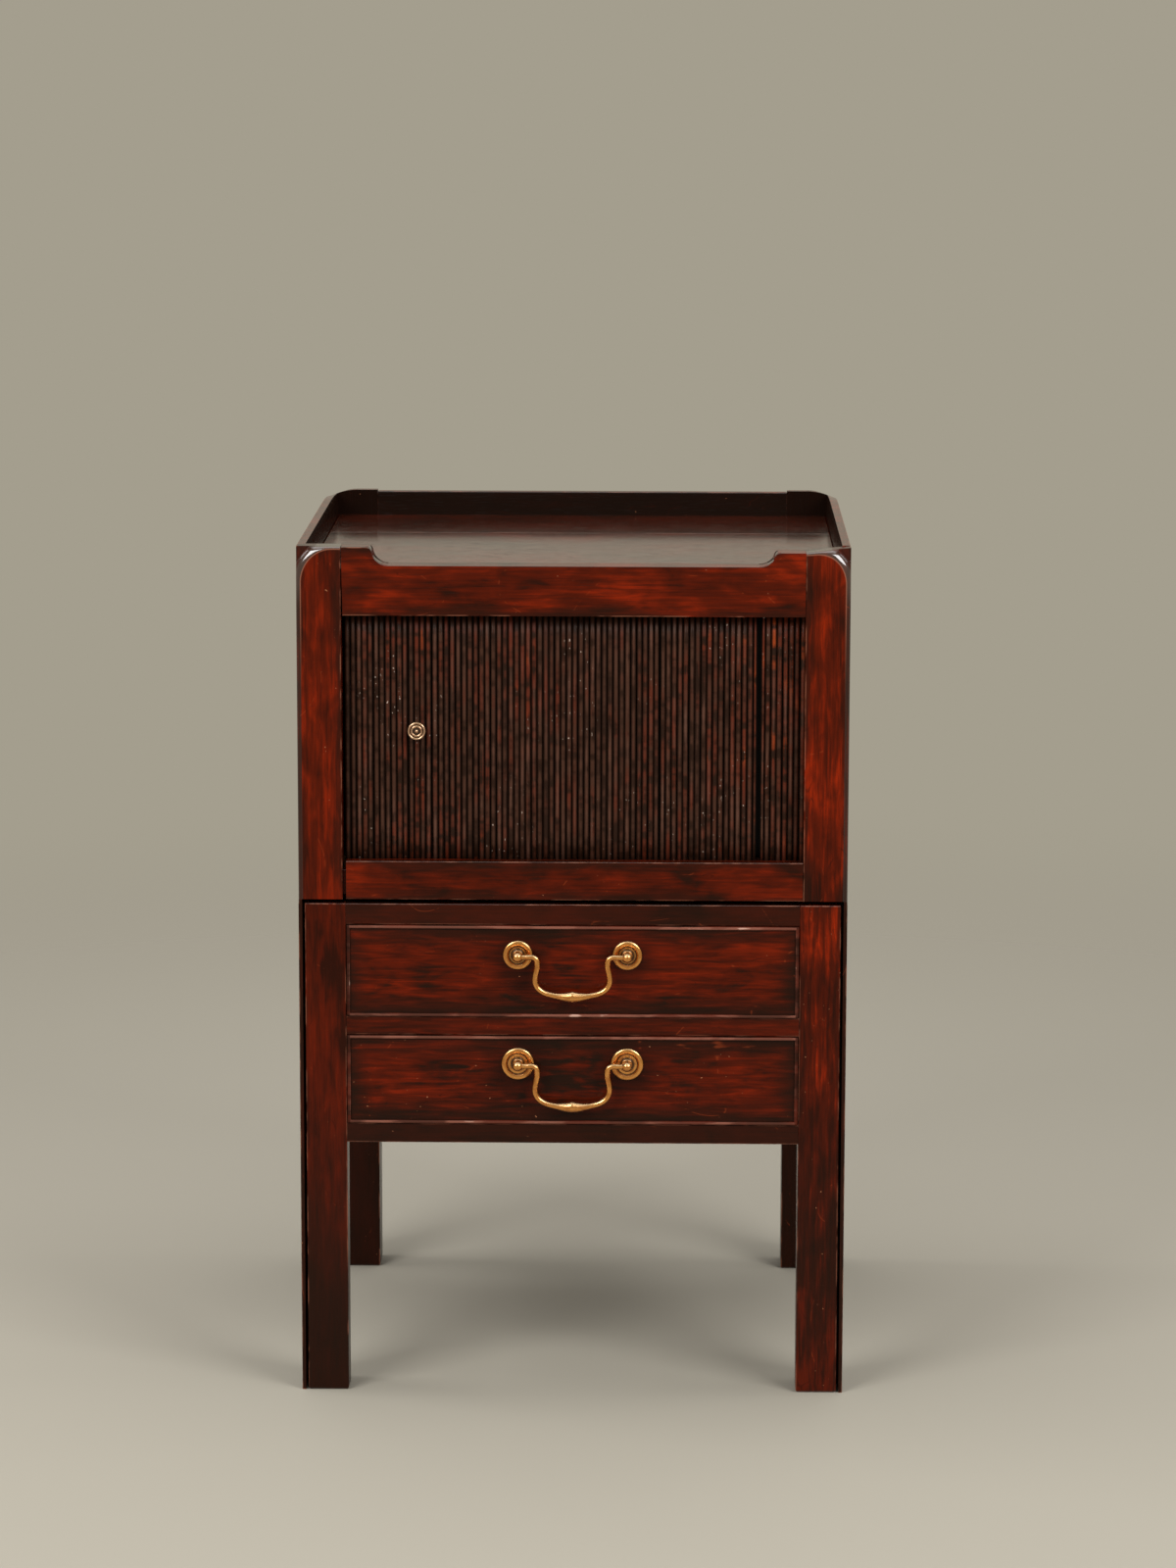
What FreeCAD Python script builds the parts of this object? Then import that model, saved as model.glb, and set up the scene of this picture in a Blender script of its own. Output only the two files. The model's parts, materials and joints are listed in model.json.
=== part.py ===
import FreeCAD, Part
import math
import os

# A tray-top night commode in solid wood. A tambour door slides across its cupboard, and its base,
# with false drawer fronts and split front legs, pulls forward as a close stool.
# Millimetres. X runs along the front, Y from the front to the back, Z up from the floor.

# Width and depth of the carcass
WIDTH = 508.0
DEPTH = 470.0

# Heights up the front, in order from the floor
LEG_CLEAR = 240.0
PULL_BOTTOM_RAIL_H = 18.5
LOWER_FRONT_H = 84.5
PULL_MID_RAIL_H = 17.5
UPPER_FRONT_H = 87.0
PULL_TOP_RAIL_H = 19.5
PULL_TOP_GAP = 4.0
CASE_RAIL_H = 36.0
DOOR_H = 229.0
CEILING_T = 22.0
TRAY_T = 16.0
TRAY_DEPTH = 25.0

# Posts, legs and boards of the carcass
POST_W = 41.0
LIP_T = 3.5
FIXED_LEG_W = 34.0
FIXED_LEG_BACK_D = 14.0
REAR_LEG_W = 48.0
REAR_LEG_D = 42.0
RAIL_T = 26.0
SIDE_T = 10.0
BACK_T = 10.0
BACK_DROP = 1.3
FLOOR_T = 14.0
TRAY_STRIP_D = 146.0
TRAY_SEAM = 0.6
FOOT_CHAMFER = 1.5
TENON_L = 16.0
TENON_T = 9.0
TENON_SET = 8.0
TENON_SHOULDER = 3.5
TONGUE_L = 6.0
TONGUE_T = 4.0

# Shaping of the tray gallery
SCOOP_END = 64.0
SCOOP_RUN = 20.0
SCOOP_DROP = 17.0
SCOOP_NOSE_R = 6.0
FRONT_CORNER_R = 32.0
REAR_CORNER_R = 24.0

# Tambour door
DOOR_SETBACK = 14.0
REED_PITCH = 5.38
REED_W = 5.2
REED_T = 5.5
CANVAS_T = 1.0
CANVAS_MARGIN = 4.0
GROOVE_DEPTH = 6.0
GROOVE_CLEAR = 0.6
TURN_R = 18.0
SIDE_CLEAR = 1.0
LEAD_GAP = 2.0
LEAD_REEDS = 15
TAIL_REEDS = 3
LINER_T = 6.0
LINER_GAP = 0.9
KNOB_INSET = 69.0
KNOB_RISE = 121.4
KNOB_D = 17.0
KNOB_LEN = 12.6
KNOB_SHANK_D = 4.0
KNOB_NUT_W = 8.0
KNOB_NUT_T = 3.0

# Pull-out base
MOVING_LEG_W = 38.0
MOVING_LEG_D = 29.0
LEG_SIDE_GAP = 2.4
LEG_BACK_GAP = 2.0
PULL_RAIL_T = 20.0
FALSE_FRONT_T = 18.0
FRONT_GAP = 0.4
BEAD_W = 3.4
BEAD_D = 10.0
BEAD_PROUD = 2.0
BEAD_NOSE = 0.46
BOX_SIDE_T = 12.0
BOX_CLEAR = 1.0
SEAT_T = 16.0
SEAT_DROP = 2.0
RUNNER_H = 18.0
RUNNER_RISE = 4.0
RUNNER_LAP = 2.0
RUN_CLEAR = 0.3
KICKER_LAP = 5.0
KICKER_CLEAR = 1.0
STOP_D = 18.0
STOP_H = 24.0
CLEAT_D = 20.0
CLEAT_H = 20.0
CATCH_X = 150.0
CATCH_W = 40.0
CATCH_D = 15.0
CATCH_H = 20.0
GLUE_BLOCK = 18.0
GLUE_BLOCK_L = 50.0
GLUE_BLOCK_X = 140.0

# Pan in the seat
PAN_D = 236.0
PAN_RIM_W = 13.0
PAN_RIM_T = 6.0
PAN_DEPTH = 150.0
PAN_FOOT_D = 130.0
PAN_BELLY_H = 82.5
PAN_WALL = 5.0
PAN_CLEAR = 1.0
# The point that the belly's arc passes, as shares of its width and height
PAN_BULGE = (0.83, 0.4)

# Handles
HANDLE_CENTRES = 101.6
HANDLE_RISE = 15.3
PIVOT_OUT = 11.0
UPPER_ROSE_D = 27.7
LOWER_ROSE_D = 30.5
ROSE_T = 2.6
ROSE_RIM_W = 3.6
ROSE_COLLAR_T = 4.2
ROSE_COLLAR_W = 2.0
ROSE_COLLAR_ROUND = 0.9
POST_HEAD_D = 9.6
POST_STEM_D = 6.5
POST_SHANK_D = 5.0
SHANK_CLEAR = 0.1
NUT_W = 9.0
NUT_T = 3.5
BAIL_D = 4.8
BAIL_PIN_CLEAR = 0.08
BAIL_NECK_IN = 20.3
BAIL_FLARE = 4.0
BAIL_NECK_R = 5.0
BAIL_CORNER_R = 16.0
BAIL_SWELL_D = 10.5
BAIL_SWELL_L = 38.0
BAIL_SWELL_END_D = 4.3
UPPER_BAIL_DROP = 37.0
LOWER_BAIL_DROP = 38.5

# Turned profiles, from the back to the front. The knob's are shares of its radius and length, the
# rose's are shares of its rim's width, inwards from the edge, and of its thickness.
KNOB_PROFILE = (
    (0.62, 0), (0.62, 0.09), (0.4, 0.18), (0.38, 0.4), (0.85, 0.6), (1, 0.68), (1, 0.78), (0.9, 0.86),
    (0.78, 0.86), (0.72, 0.79), (0.62, 0.79), (0.56, 0.88), (0.44, 0.9), (0.36, 0.83), (0.28, 0.84),
    (0.24, 0.94), (0.12, 1), (0, 1),
)
ROSE_RIM_PROFILE = ((0, 0), (0, 0.45), (0.22, 0.85), (0.5, 1), (0.78, 0.85), (1, 0.55))
ROSE_DISH = 0.5
ROSE_SHOULDER = 0.8

# Levels that follow from the heights
LOWER_FRONT_Z = LEG_CLEAR + PULL_BOTTOM_RAIL_H
PULL_MID_Z = LOWER_FRONT_Z + LOWER_FRONT_H
UPPER_FRONT_Z = PULL_MID_Z + PULL_MID_RAIL_H
PULL_TOP_RAIL_Z = UPPER_FRONT_Z + UPPER_FRONT_H
PULL_TOP = PULL_TOP_RAIL_Z + PULL_TOP_RAIL_H
CASE_Z = PULL_TOP + PULL_TOP_GAP
DOOR_Z = CASE_Z + CASE_RAIL_H
DOOR_TOP = DOOR_Z + DOOR_H
TRAY_UNDER = DOOR_TOP + CEILING_T
TRAY_TOP = TRAY_UNDER + TRAY_T
HEIGHT = TRAY_TOP + TRAY_DEPTH
FLOOR_UNDER = DOOR_Z - FLOOR_T
SEAT_TOP = PULL_TOP - SEAT_DROP
SEAT_UNDER = SEAT_TOP - SEAT_T
RUNNER_Z = LEG_CLEAR + RUNNER_RISE
RUNNER_TOP = RUNNER_Z + RUNNER_H
BOX_Z = RUNNER_TOP + RUN_CLEAR

# Places across the width, on the right-hand side
OUTER_X = WIDTH / 2
OPENING_X = OUTER_X - POST_W
SIDE_IN_X = OUTER_X - SIDE_T
MOVING_LEG_OUT_X = OUTER_X - LIP_T - LEG_SIDE_GAP
MOVING_LEG_IN_X = MOVING_LEG_OUT_X - MOVING_LEG_W
BOX_OUT_X = OUTER_X - FIXED_LEG_W - BOX_CLEAR
BOX_IN_X = BOX_OUT_X - BOX_SIDE_T
REAR_LEG_IN_X = OUTER_X - REAR_LEG_W
CANVAS_SIDE_X = SIDE_IN_X - SIDE_CLEAR - REED_T
TURN_X = CANVAS_SIDE_X - TURN_R

# Depths behind the front face
POST_D = MOVING_LEG_D + LEG_BACK_GAP + FIXED_LEG_BACK_D
REAR_LEG_T0 = DEPTH - REAR_LEG_D
BACK_T0 = DEPTH - BACK_T
CANVAS_FACE_T = DOOR_SETBACK + REED_T
TURN_T = CANVAS_FACE_T + TURN_R
GROOVE_T0 = DOOR_SETBACK - GROOVE_CLEAR
GROOVE_T1 = CANVAS_FACE_T + CANVAS_T + GROOVE_CLEAR
BOX_BACK_T = REAR_LEG_T0 - STOP_D - RUN_CLEAR
CLEAT_T1 = POST_D + CLEAT_D
SEAT_HOLE_T = (PULL_RAIL_T + BOX_BACK_T) / 2

# The door's lead board and the knob
LEAD_X0 = LEAD_GAP - OPENING_X
LEAD_X1 = LEAD_X0 + LEAD_REEDS * REED_PITCH
KNOB_X = KNOB_INSET - OPENING_X
KNOB_Z = DOOR_Z + KNOB_RISE
REED_Z0 = DOOR_Z - GROOVE_DEPTH + SIDE_CLEAR
REED_Z1 = DOOR_TOP + GROOVE_DEPTH - SIDE_CLEAR

# The front face lies so that the whole part, handles included, is centred over the origin
HANDLE_REACH = PIVOT_OUT + max(POST_HEAD_D, BAIL_SWELL_D) / 2
FRONT_Y = (HANDLE_REACH - DEPTH) / 2

PAST = 1.0
V = FreeCAD.Vector
pieces = {}


def box(x0, x1, t0, t1, z0, z1):
    """A block between two X, two depths behind the front face and two heights."""
    return Part.makeBox(x1 - x0, t1 - t0, z1 - z0, V(x0, FRONT_Y + t0, z0))


def joined(first, *others):
    return first.fuse(list(others)).removeSplitter()


def less(shape, *tools):
    return shape.cut(list(tools))


def mirrored(shape):
    return shape.mirror(V(0, 0, 0), V(1, 0, 0))


def both_sides(name, right):
    pieces[name + "_right"] = right
    pieces[name + "_left"] = mirrored(right)


def upright(radius, x, t, z0, z1):
    """A cylinder that stands along Z."""
    return Part.makeCylinder(radius, z1 - z0, V(x, FRONT_Y + t, z0))


def across(radius, x, t0, t1, z):
    """A cylinder that lies along the depth."""
    return Part.makeCylinder(radius, t1 - t0, V(x, FRONT_Y + t0, z), V(0, 1, 0))


def extruded(edges, direction):
    return Part.Face(Part.Wire(edges)).extrude(direction)


def lines(points):
    """Straight edges through the points and back to the first."""
    ends = points[1:] + points[:1]
    return [Part.LineSegment(a, b).toShape() for a, b in zip(points, ends)]


def turned(profile, x, t, z):
    """A piece turned about the depth axis, from points of radius and reach out of the front."""
    points = [V(radius, -reach, 0) for radius, reach in profile]
    face = Part.Face(Part.Wire(lines(points)))
    return face.revolve(V(0, 0, 0), V(0, 1, 0), 360).translate(V(x, FRONT_Y + t, z))


def rounded_path(points, radii):
    """A wire of straight runs through the points, with a tangent arc at each inner point."""
    edges = []
    start = points[0]
    for before, corner, after, radius in zip(points, points[1:], points[2:], radii):
        back = (before - corner).normalize()
        ahead = (after - corner).normalize()
        half_angle = back.getAngle(ahead) / 2
        reach = radius / math.tan(half_angle)
        middle = (back + ahead).normalize() * (radius / math.sin(half_angle) - radius)
        arc_start = corner + back * reach
        arc_end = corner + ahead * reach
        edges.append(Part.LineSegment(start, arc_start).toShape())
        edges.append(Part.Arc(arc_start, corner + middle, arc_end).toShape())
        start = arc_end
    edges.append(Part.LineSegment(start, points[-1]).toShape())
    return Part.Wire(edges)


def corner_round(radius, at_rear):
    """What is taken off the top right corner of the gallery, at the front or the rear."""
    ball_t = DEPTH - radius if at_rear else radius
    t0 = ball_t if at_rear else -PAST
    t1 = DEPTH + PAST if at_rear else ball_t
    corner = box(OUTER_X - radius, OUTER_X + PAST, t0, t1, HEIGHT - radius, HEIGHT + PAST)
    centre = V(OUTER_X - radius, FRONT_Y + ball_t, HEIGHT - radius)
    return less(corner, Part.makeSphere(radius * math.sqrt(2), centre))


def groove(z0, z1):
    """The path that the door runs in: across the front, round the corner and along the side."""
    outer_r = TURN_R + REED_T + GROOVE_CLEAR
    inner_r = TURN_R - CANVAS_T - GROOVE_CLEAR
    front = box(-OPENING_X, TURN_X, GROOVE_T0, GROOVE_T1, z0, z1)
    quarter = box(TURN_X, TURN_X + outer_r, TURN_T - outer_r, TURN_T, z0, z1)
    ring = less(upright(outer_r, TURN_X, TURN_T, z0, z1), upright(inner_r, TURN_X, TURN_T, z0, z1))
    side = box(TURN_X + inner_r, TURN_X + outer_r, TURN_T, REAR_LEG_T0, z0, z1)
    return joined(front, ring.common(quarter), side)


def door_recess(z0, z1):
    """The hollow behind the right post's face, where the door turns the corner."""
    outer_r = TURN_R + REED_T + GROOVE_CLEAR
    inner = OPENING_X - PAST
    front = box(inner, TURN_X, GROOVE_T0, POST_D + PAST, z0, z1)
    side = box(inner, TURN_X + outer_r, TURN_T, POST_D + PAST, z0, z1)
    return joined(front, side, upright(outer_r, TURN_X, TURN_T, z0, z1))


def tenon(inner_x, t0, z0, z1):
    """The right-hand tenon of a rail whose shoulder is at inner_x."""
    return box(inner_x, inner_x + TENON_L, t0, t0 + TENON_T, z0, z1)


def chamfered_foot(leg):
    foot = [edge for edge in leg.Edges if edge.BoundBox.ZMax < PAST]
    return leg.makeChamfer(FOOT_CHAMFER, foot)


TOP_TENON = tenon(OPENING_X, TENON_SET, TRAY_UNDER + TENON_SHOULDER, HEIGHT - SCOOP_DROP - TENON_SHOULDER)
CASE_TENON = tenon(OPENING_X, TENON_SET, CASE_Z + TENON_SHOULDER, DOOR_Z - GROOVE_DEPTH - TENON_SHOULDER)
FRONT_ROUND = corner_round(FRONT_CORNER_R, False)
REAR_ROUND = corner_round(REAR_CORNER_R, True)


def side_board():
    """The right side, with tongues at both ends and the gallery above the tray."""
    panel = box(SIDE_IN_X, OUTER_X, POST_D, REAR_LEG_T0, LEG_CLEAR, TRAY_UNDER)
    gallery = box(SIDE_IN_X, OUTER_X, RAIL_T, BACK_T0, TRAY_UNDER, HEIGHT)
    tongue_x = SIDE_IN_X + (SIDE_T - TONGUE_T) / 2
    tongue_t0 = POST_D - TONGUE_L
    tongue_t1 = REAR_LEG_T0 + TONGUE_L
    tongue = box(tongue_x, tongue_x + TONGUE_T, tongue_t0, tongue_t1, LEG_CLEAR, TRAY_UNDER)
    return less(joined(panel, gallery, tongue), FRONT_ROUND, REAR_ROUND)


def front_post(board):
    """The right front post. Below the case it keeps only an outer lip and the back of the leg."""
    upper = box(OPENING_X, OUTER_X, 0, POST_D, CASE_Z, TRAY_UNDER)
    head = box(OPENING_X, OUTER_X, 0, RAIL_T, TRAY_UNDER, HEIGHT)
    lip = box(OUTER_X - LIP_T, OUTER_X, 0, POST_D, 0, CASE_Z)
    leg_back = box(OUTER_X - FIXED_LEG_W, OUTER_X, POST_D - FIXED_LEG_BACK_D, POST_D, 0, CASE_Z)
    return less(joined(upper, head, lip, leg_back), board, TOP_TENON, CASE_TENON, FRONT_ROUND)


def rear_leg(board):
    """The right rear leg, which thins to a stile of the gallery above the tray."""
    leg = box(REAR_LEG_IN_X, OUTER_X, REAR_LEG_T0, DEPTH, 0, TRAY_UNDER)
    stile = box(REAR_LEG_IN_X, OUTER_X, BACK_T0, DEPTH, TRAY_UNDER, HEIGHT)
    return less(chamfered_foot(joined(leg, stile)), board, REAR_ROUND)


def top_rail():
    """The front rail of the tray, with its top edge scooped between two ogee ramps."""
    low = HEIGHT - SCOOP_DROP
    angle = 2 * math.atan(SCOOP_DROP / SCOOP_RUN)
    sweep_r = SCOOP_RUN / math.sin(angle) - SCOOP_NOSE_R
    x_full = OUTER_X - SCOOP_END
    x_low = x_full - SCOOP_RUN

    def nose(turn):
        return x_full - SCOOP_NOSE_R * math.sin(turn), HEIGHT - SCOOP_NOSE_R * (1 - math.cos(turn))

    def sweep(turn):
        return x_low + sweep_r * math.sin(turn), low + sweep_r * (1 - math.cos(turn))

    def edge_of(side, *corners):
        points = [V(side * x, FRONT_Y, z) for x, z in corners]
        curve = Part.LineSegment(*points) if len(points) == 2 else Part.Arc(*points)
        return curve.toShape()

    edges = []
    for side in (1, -1):
        edges.append(edge_of(side, (OPENING_X, DOOR_TOP), (OPENING_X, HEIGHT)))
        edges.append(edge_of(side, (OPENING_X, HEIGHT), nose(0)))
        edges.append(edge_of(side, nose(0), nose(angle / 2), nose(angle)))
        edges.append(edge_of(side, nose(angle), sweep(angle / 2), sweep(0)))
    edges.append(edge_of(1, (x_low, low), (-x_low, low)))
    edges.append(edge_of(1, (OPENING_X, DOOR_TOP), (-OPENING_X, DOOR_TOP)))
    rail = extruded(Part.__sortEdges__(edges), V(0, RAIL_T, 0))
    rail = joined(rail, TOP_TENON, mirrored(TOP_TENON))
    return less(rail, groove(DOOR_TOP, DOOR_TOP + GROOVE_DEPTH))


def carcass():
    board = side_board()
    post = front_post(board)
    leg = rear_leg(board)
    recess = door_recess(DOOR_Z - GROOVE_DEPTH, DOOR_TOP + GROOVE_DEPTH)
    both_sides("side_board", board)
    both_sides("front_post", post)
    both_sides("rear_leg", leg)
    pieces["front_post_right"] = less(post, recess)
    uprights = [pieces[name] for name in
                ("front_post_left", "front_post_right", "rear_leg_left", "rear_leg_right")]
    lower_groove = groove(DOOR_Z - GROOVE_DEPTH, DOOR_Z)
    upper_groove = groove(DOOR_TOP, DOOR_TOP + GROOVE_DEPTH)

    pieces["back_board"] = box(-REAR_LEG_IN_X, REAR_LEG_IN_X, BACK_T0, DEPTH, LEG_CLEAR, HEIGHT - BACK_DROP)
    pieces["top_rail"] = top_rail()
    rail = box(-OPENING_X, OPENING_X, 0, RAIL_T, CASE_Z, DOOR_Z)
    pieces["case_rail"] = less(joined(rail, CASE_TENON, mirrored(CASE_TENON)), lower_groove)
    floor = box(-SIDE_IN_X, SIDE_IN_X, RAIL_T, BACK_T0, FLOOR_UNDER, DOOR_Z)
    pieces["cupboard_floor"] = less(floor, lower_groove, *uprights)
    ceiling = box(-SIDE_IN_X, SIDE_IN_X, RAIL_T, BACK_T0, DOOR_TOP, TRAY_UNDER)
    pieces["cupboard_ceiling"] = less(ceiling, upper_groove, *uprights)
    seam_t = BACK_T0 - TRAY_STRIP_D
    pieces["tray_board"] = box(-SIDE_IN_X, SIDE_IN_X, RAIL_T, seam_t - TRAY_SEAM, TRAY_UNDER, TRAY_TOP)
    pieces["tray_rear_board"] = box(-SIDE_IN_X, SIDE_IN_X, seam_t, BACK_T0, TRAY_UNDER, TRAY_TOP)
    liner_x = CANVAS_SIDE_X - CANVAS_T - GROOVE_CLEAR - LINER_GAP
    pieces["door_liner"] = box(liner_x - LINER_T, liner_x, TURN_T, REAR_LEG_T0, DOOR_Z, DOOR_TOP)


def slide_way():
    """Runners, kickers and stops that carry the base in the carcass."""
    runner = box(BOX_IN_X - RUNNER_LAP, SIDE_IN_X, POST_D, REAR_LEG_T0, RUNNER_Z, RUNNER_TOP)
    both_sides("runner", runner)
    kicker_x = BOX_OUT_X - KICKER_LAP
    kicker = box(kicker_x, SIDE_IN_X, POST_D, REAR_LEG_T0, SEAT_TOP + KICKER_CLEAR, FLOOR_UNDER)
    both_sides("kicker", kicker)
    stop = box(BOX_IN_X, BOX_OUT_X, REAR_LEG_T0 - STOP_D, REAR_LEG_T0, RUNNER_TOP, RUNNER_TOP + STOP_H)
    both_sides("stop_block", stop)
    cleat = box(-kicker_x, kicker_x, POST_D, CLEAT_T1, FLOOR_UNDER - CLEAT_H, FLOOR_UNDER)
    pieces["out_stop_cleat"] = cleat
    blocks = []
    block_t = RAIL_T + GLUE_BLOCK
    block_z = FLOOR_UNDER - GLUE_BLOCK
    for x in (-GLUE_BLOCK_X, 0, GLUE_BLOCK_X):
        corners = [(RAIL_T, FLOOR_UNDER), (block_t, FLOOR_UNDER), (RAIL_T, block_z)]
        points = [V(x - GLUE_BLOCK_L / 2, FRONT_Y + t, z) for t, z in corners]
        blocks.append(extruded(lines(points), V(GLUE_BLOCK_L, 0, 0)))
    pieces["floor_glue_blocks"] = Part.makeCompound(blocks)


def reed_arc(x):
    """The round front of one reed, in the plane of the door's lower edge."""
    shoulder = CANVAS_FACE_T - REED_T + REED_W / 2
    left = V(x - REED_W / 2, FRONT_Y + shoulder, REED_Z0)
    right = V(x + REED_W / 2, FRONT_Y + shoulder, REED_Z0)
    crest = V(x, FRONT_Y + DOOR_SETBACK, REED_Z0)
    return left, Part.Arc(left, crest, right).toShape(), right


def lead_board():
    """The stiff leading part of the door, reeded like the rest."""
    back_y = FRONT_Y + CANVAS_FACE_T + CANVAS_T
    edges = []
    corner = V(LEAD_X0, back_y, REED_Z0)
    for i in range(LEAD_REEDS):
        left, arc, right = reed_arc(LEAD_X0 + (i + 0.5) * REED_PITCH)
        edges.append(Part.LineSegment(corner, left).toShape())
        edges.append(arc)
        corner = right
    last = V(corner.x, back_y, REED_Z0)
    edges.append(Part.LineSegment(corner, last).toShape())
    edges.append(Part.LineSegment(last, V(LEAD_X0, back_y, REED_Z0)).toShape())
    board = extruded(edges, V(0, 0, REED_Z1 - REED_Z0))
    hole = across(KNOB_SHANK_D / 2 + SHANK_CLEAR, KNOB_X, 0, RAIL_T, KNOB_Z)
    return less(board, hole)


def curtain():
    """The reeds that follow the lead board, and the canvas that they are glued to."""
    left, arc, right = reed_arc(0)
    back_left = V(left.x, FRONT_Y + CANVAS_FACE_T, REED_Z0)
    back_right = V(right.x, FRONT_Y + CANVAS_FACE_T, REED_Z0)
    sides = [Part.LineSegment(*ends).toShape() for ends in
             ((right, back_right), (back_right, back_left), (back_left, left))]
    reed = extruded([arc] + sides, V(0, 0, REED_Z1 - REED_Z0))
    straight = TURN_X - LEAD_X1
    count = int(straight / REED_PITCH) + TAIL_REEDS
    reeds = []
    for i in range(count):
        along = (i + 0.5) * REED_PITCH
        slat = reed.copy()
        slat.translate(V(LEAD_X1 + min(along, straight), 0, 0))
        turn = max(0, along - straight) / TURN_R
        slat.rotate(V(TURN_X, FRONT_Y + TURN_T, 0), V(0, 0, 1), math.degrees(turn))
        reeds.append(slat)
    pieces["tambour_reeds"] = Part.makeCompound(reeds)

    z0 = DOOR_Z + CANVAS_MARGIN
    z1 = DOOR_TOP - CANVAS_MARGIN
    turn = math.degrees((count * REED_PITCH - straight) / TURN_R)
    flat = box(LEAD_X1, TURN_X, CANVAS_FACE_T, CANVAS_FACE_T + CANVAS_T, z0, z1)
    ring = less(upright(TURN_R, TURN_X, TURN_T, z0, z1), upright(TURN_R - CANVAS_T, TURN_X, TURN_T, z0, z1))
    wedge = Part.makeCylinder(2 * TURN_R, z1 - z0, V(0, 0, z0), V(0, 0, 1), turn)
    wedge.rotate(V(0, 0, 0), V(0, 0, 1), -90)
    wedge.translate(V(TURN_X, FRONT_Y + TURN_T, 0))
    pieces["tambour_canvas"] = joined(flat, ring.common(wedge))


def knob():
    """A small turned knob with a ringed face, its shank and its nut behind the door."""
    rim = KNOB_D / 2
    shank = KNOB_SHANK_D / 2
    behind = REED_T + CANVAS_T + KNOB_NUT_T
    profile = [(0, -behind), (shank, -behind), (shank, 0)]
    profile += [(radius * rim, reach * KNOB_LEN) for radius, reach in KNOB_PROFILE]
    pieces["tambour_knob"] = turned(profile, KNOB_X, DOOR_SETBACK, KNOB_Z)
    half = KNOB_NUT_W / 2
    t0 = CANVAS_FACE_T + CANVAS_T
    nut = box(KNOB_X - half, KNOB_X + half, t0, t0 + KNOB_NUT_T, KNOB_Z - half, KNOB_Z + half)
    pieces["tambour_knob_nut"] = less(nut, across(shank, KNOB_X, 0, DEPTH, KNOB_Z))


def pull_rail(z0, z1):
    """A rail between the moving legs, with its two tenons."""
    rail = box(-MOVING_LEG_IN_X, MOVING_LEG_IN_X, 0, PULL_RAIL_T, z0, z1)
    right = tenon(MOVING_LEG_IN_X, (PULL_RAIL_T - TENON_T) / 2, z0 + TENON_SHOULDER, z1 - TENON_SHOULDER)
    return joined(rail, right, mirrored(right))


def false_front(name, z0, height):
    """A false drawer front with a cock bead let into a rebate round its edge."""
    x1 = MOVING_LEG_IN_X - FRONT_GAP
    z1 = z0 + height - FRONT_GAP
    x_in = x1 - BEAD_W
    panel = box(-x1, x1, 0, FALSE_FRONT_T, z0, z1)
    field = box(-x_in, x_in, 0, BEAD_D, z0 + BEAD_W, z1 - BEAD_W)
    rebate = less(box(-x1, x1, 0, BEAD_D, z0, z1), field)
    holes = [across(POST_SHANK_D / 2 + SHANK_CLEAR, x, 0, FALSE_FRONT_T, z0 + height / 2 + HANDLE_RISE)
             for x in (-HANDLE_CENTRES / 2, HANDLE_CENTRES / 2)]
    pieces[name + "_drawer_front"] = less(panel, rebate, *holes)

    through = box(-x_in, x_in, -BEAD_PROUD, BEAD_D, z0 + BEAD_W, z1 - BEAD_W)
    frame = less(box(-x1, x1, -BEAD_PROUD, BEAD_D, z0, z1), through)
    nose = [edge for edge in frame.Edges if edge.BoundBox.YMax < FRONT_Y - BEAD_PROUD / 2]
    frame = frame.makeFillet(BEAD_NOSE * BEAD_W, nose)
    outer = [(-x1, z0), (x1, z0), (x1, z1), (-x1, z1)]
    inner = [(-x_in, z0 + BEAD_W), (x_in, z0 + BEAD_W), (x_in, z1 - BEAD_W), (-x_in, z1 - BEAD_W)]
    strips = []
    for i in range(4):
        j = (i + 1) % 4
        mitred = [V(x, FRONT_Y - BEAD_PROUD, z) for x, z in (outer[i], outer[j], inner[j], inner[i])]
        strips.append(frame.common(extruded(lines(mitred), V(0, BEAD_PROUD + BEAD_D, 0))))
    pieces[name + "_cock_bead"] = Part.makeCompound(strips)


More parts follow.
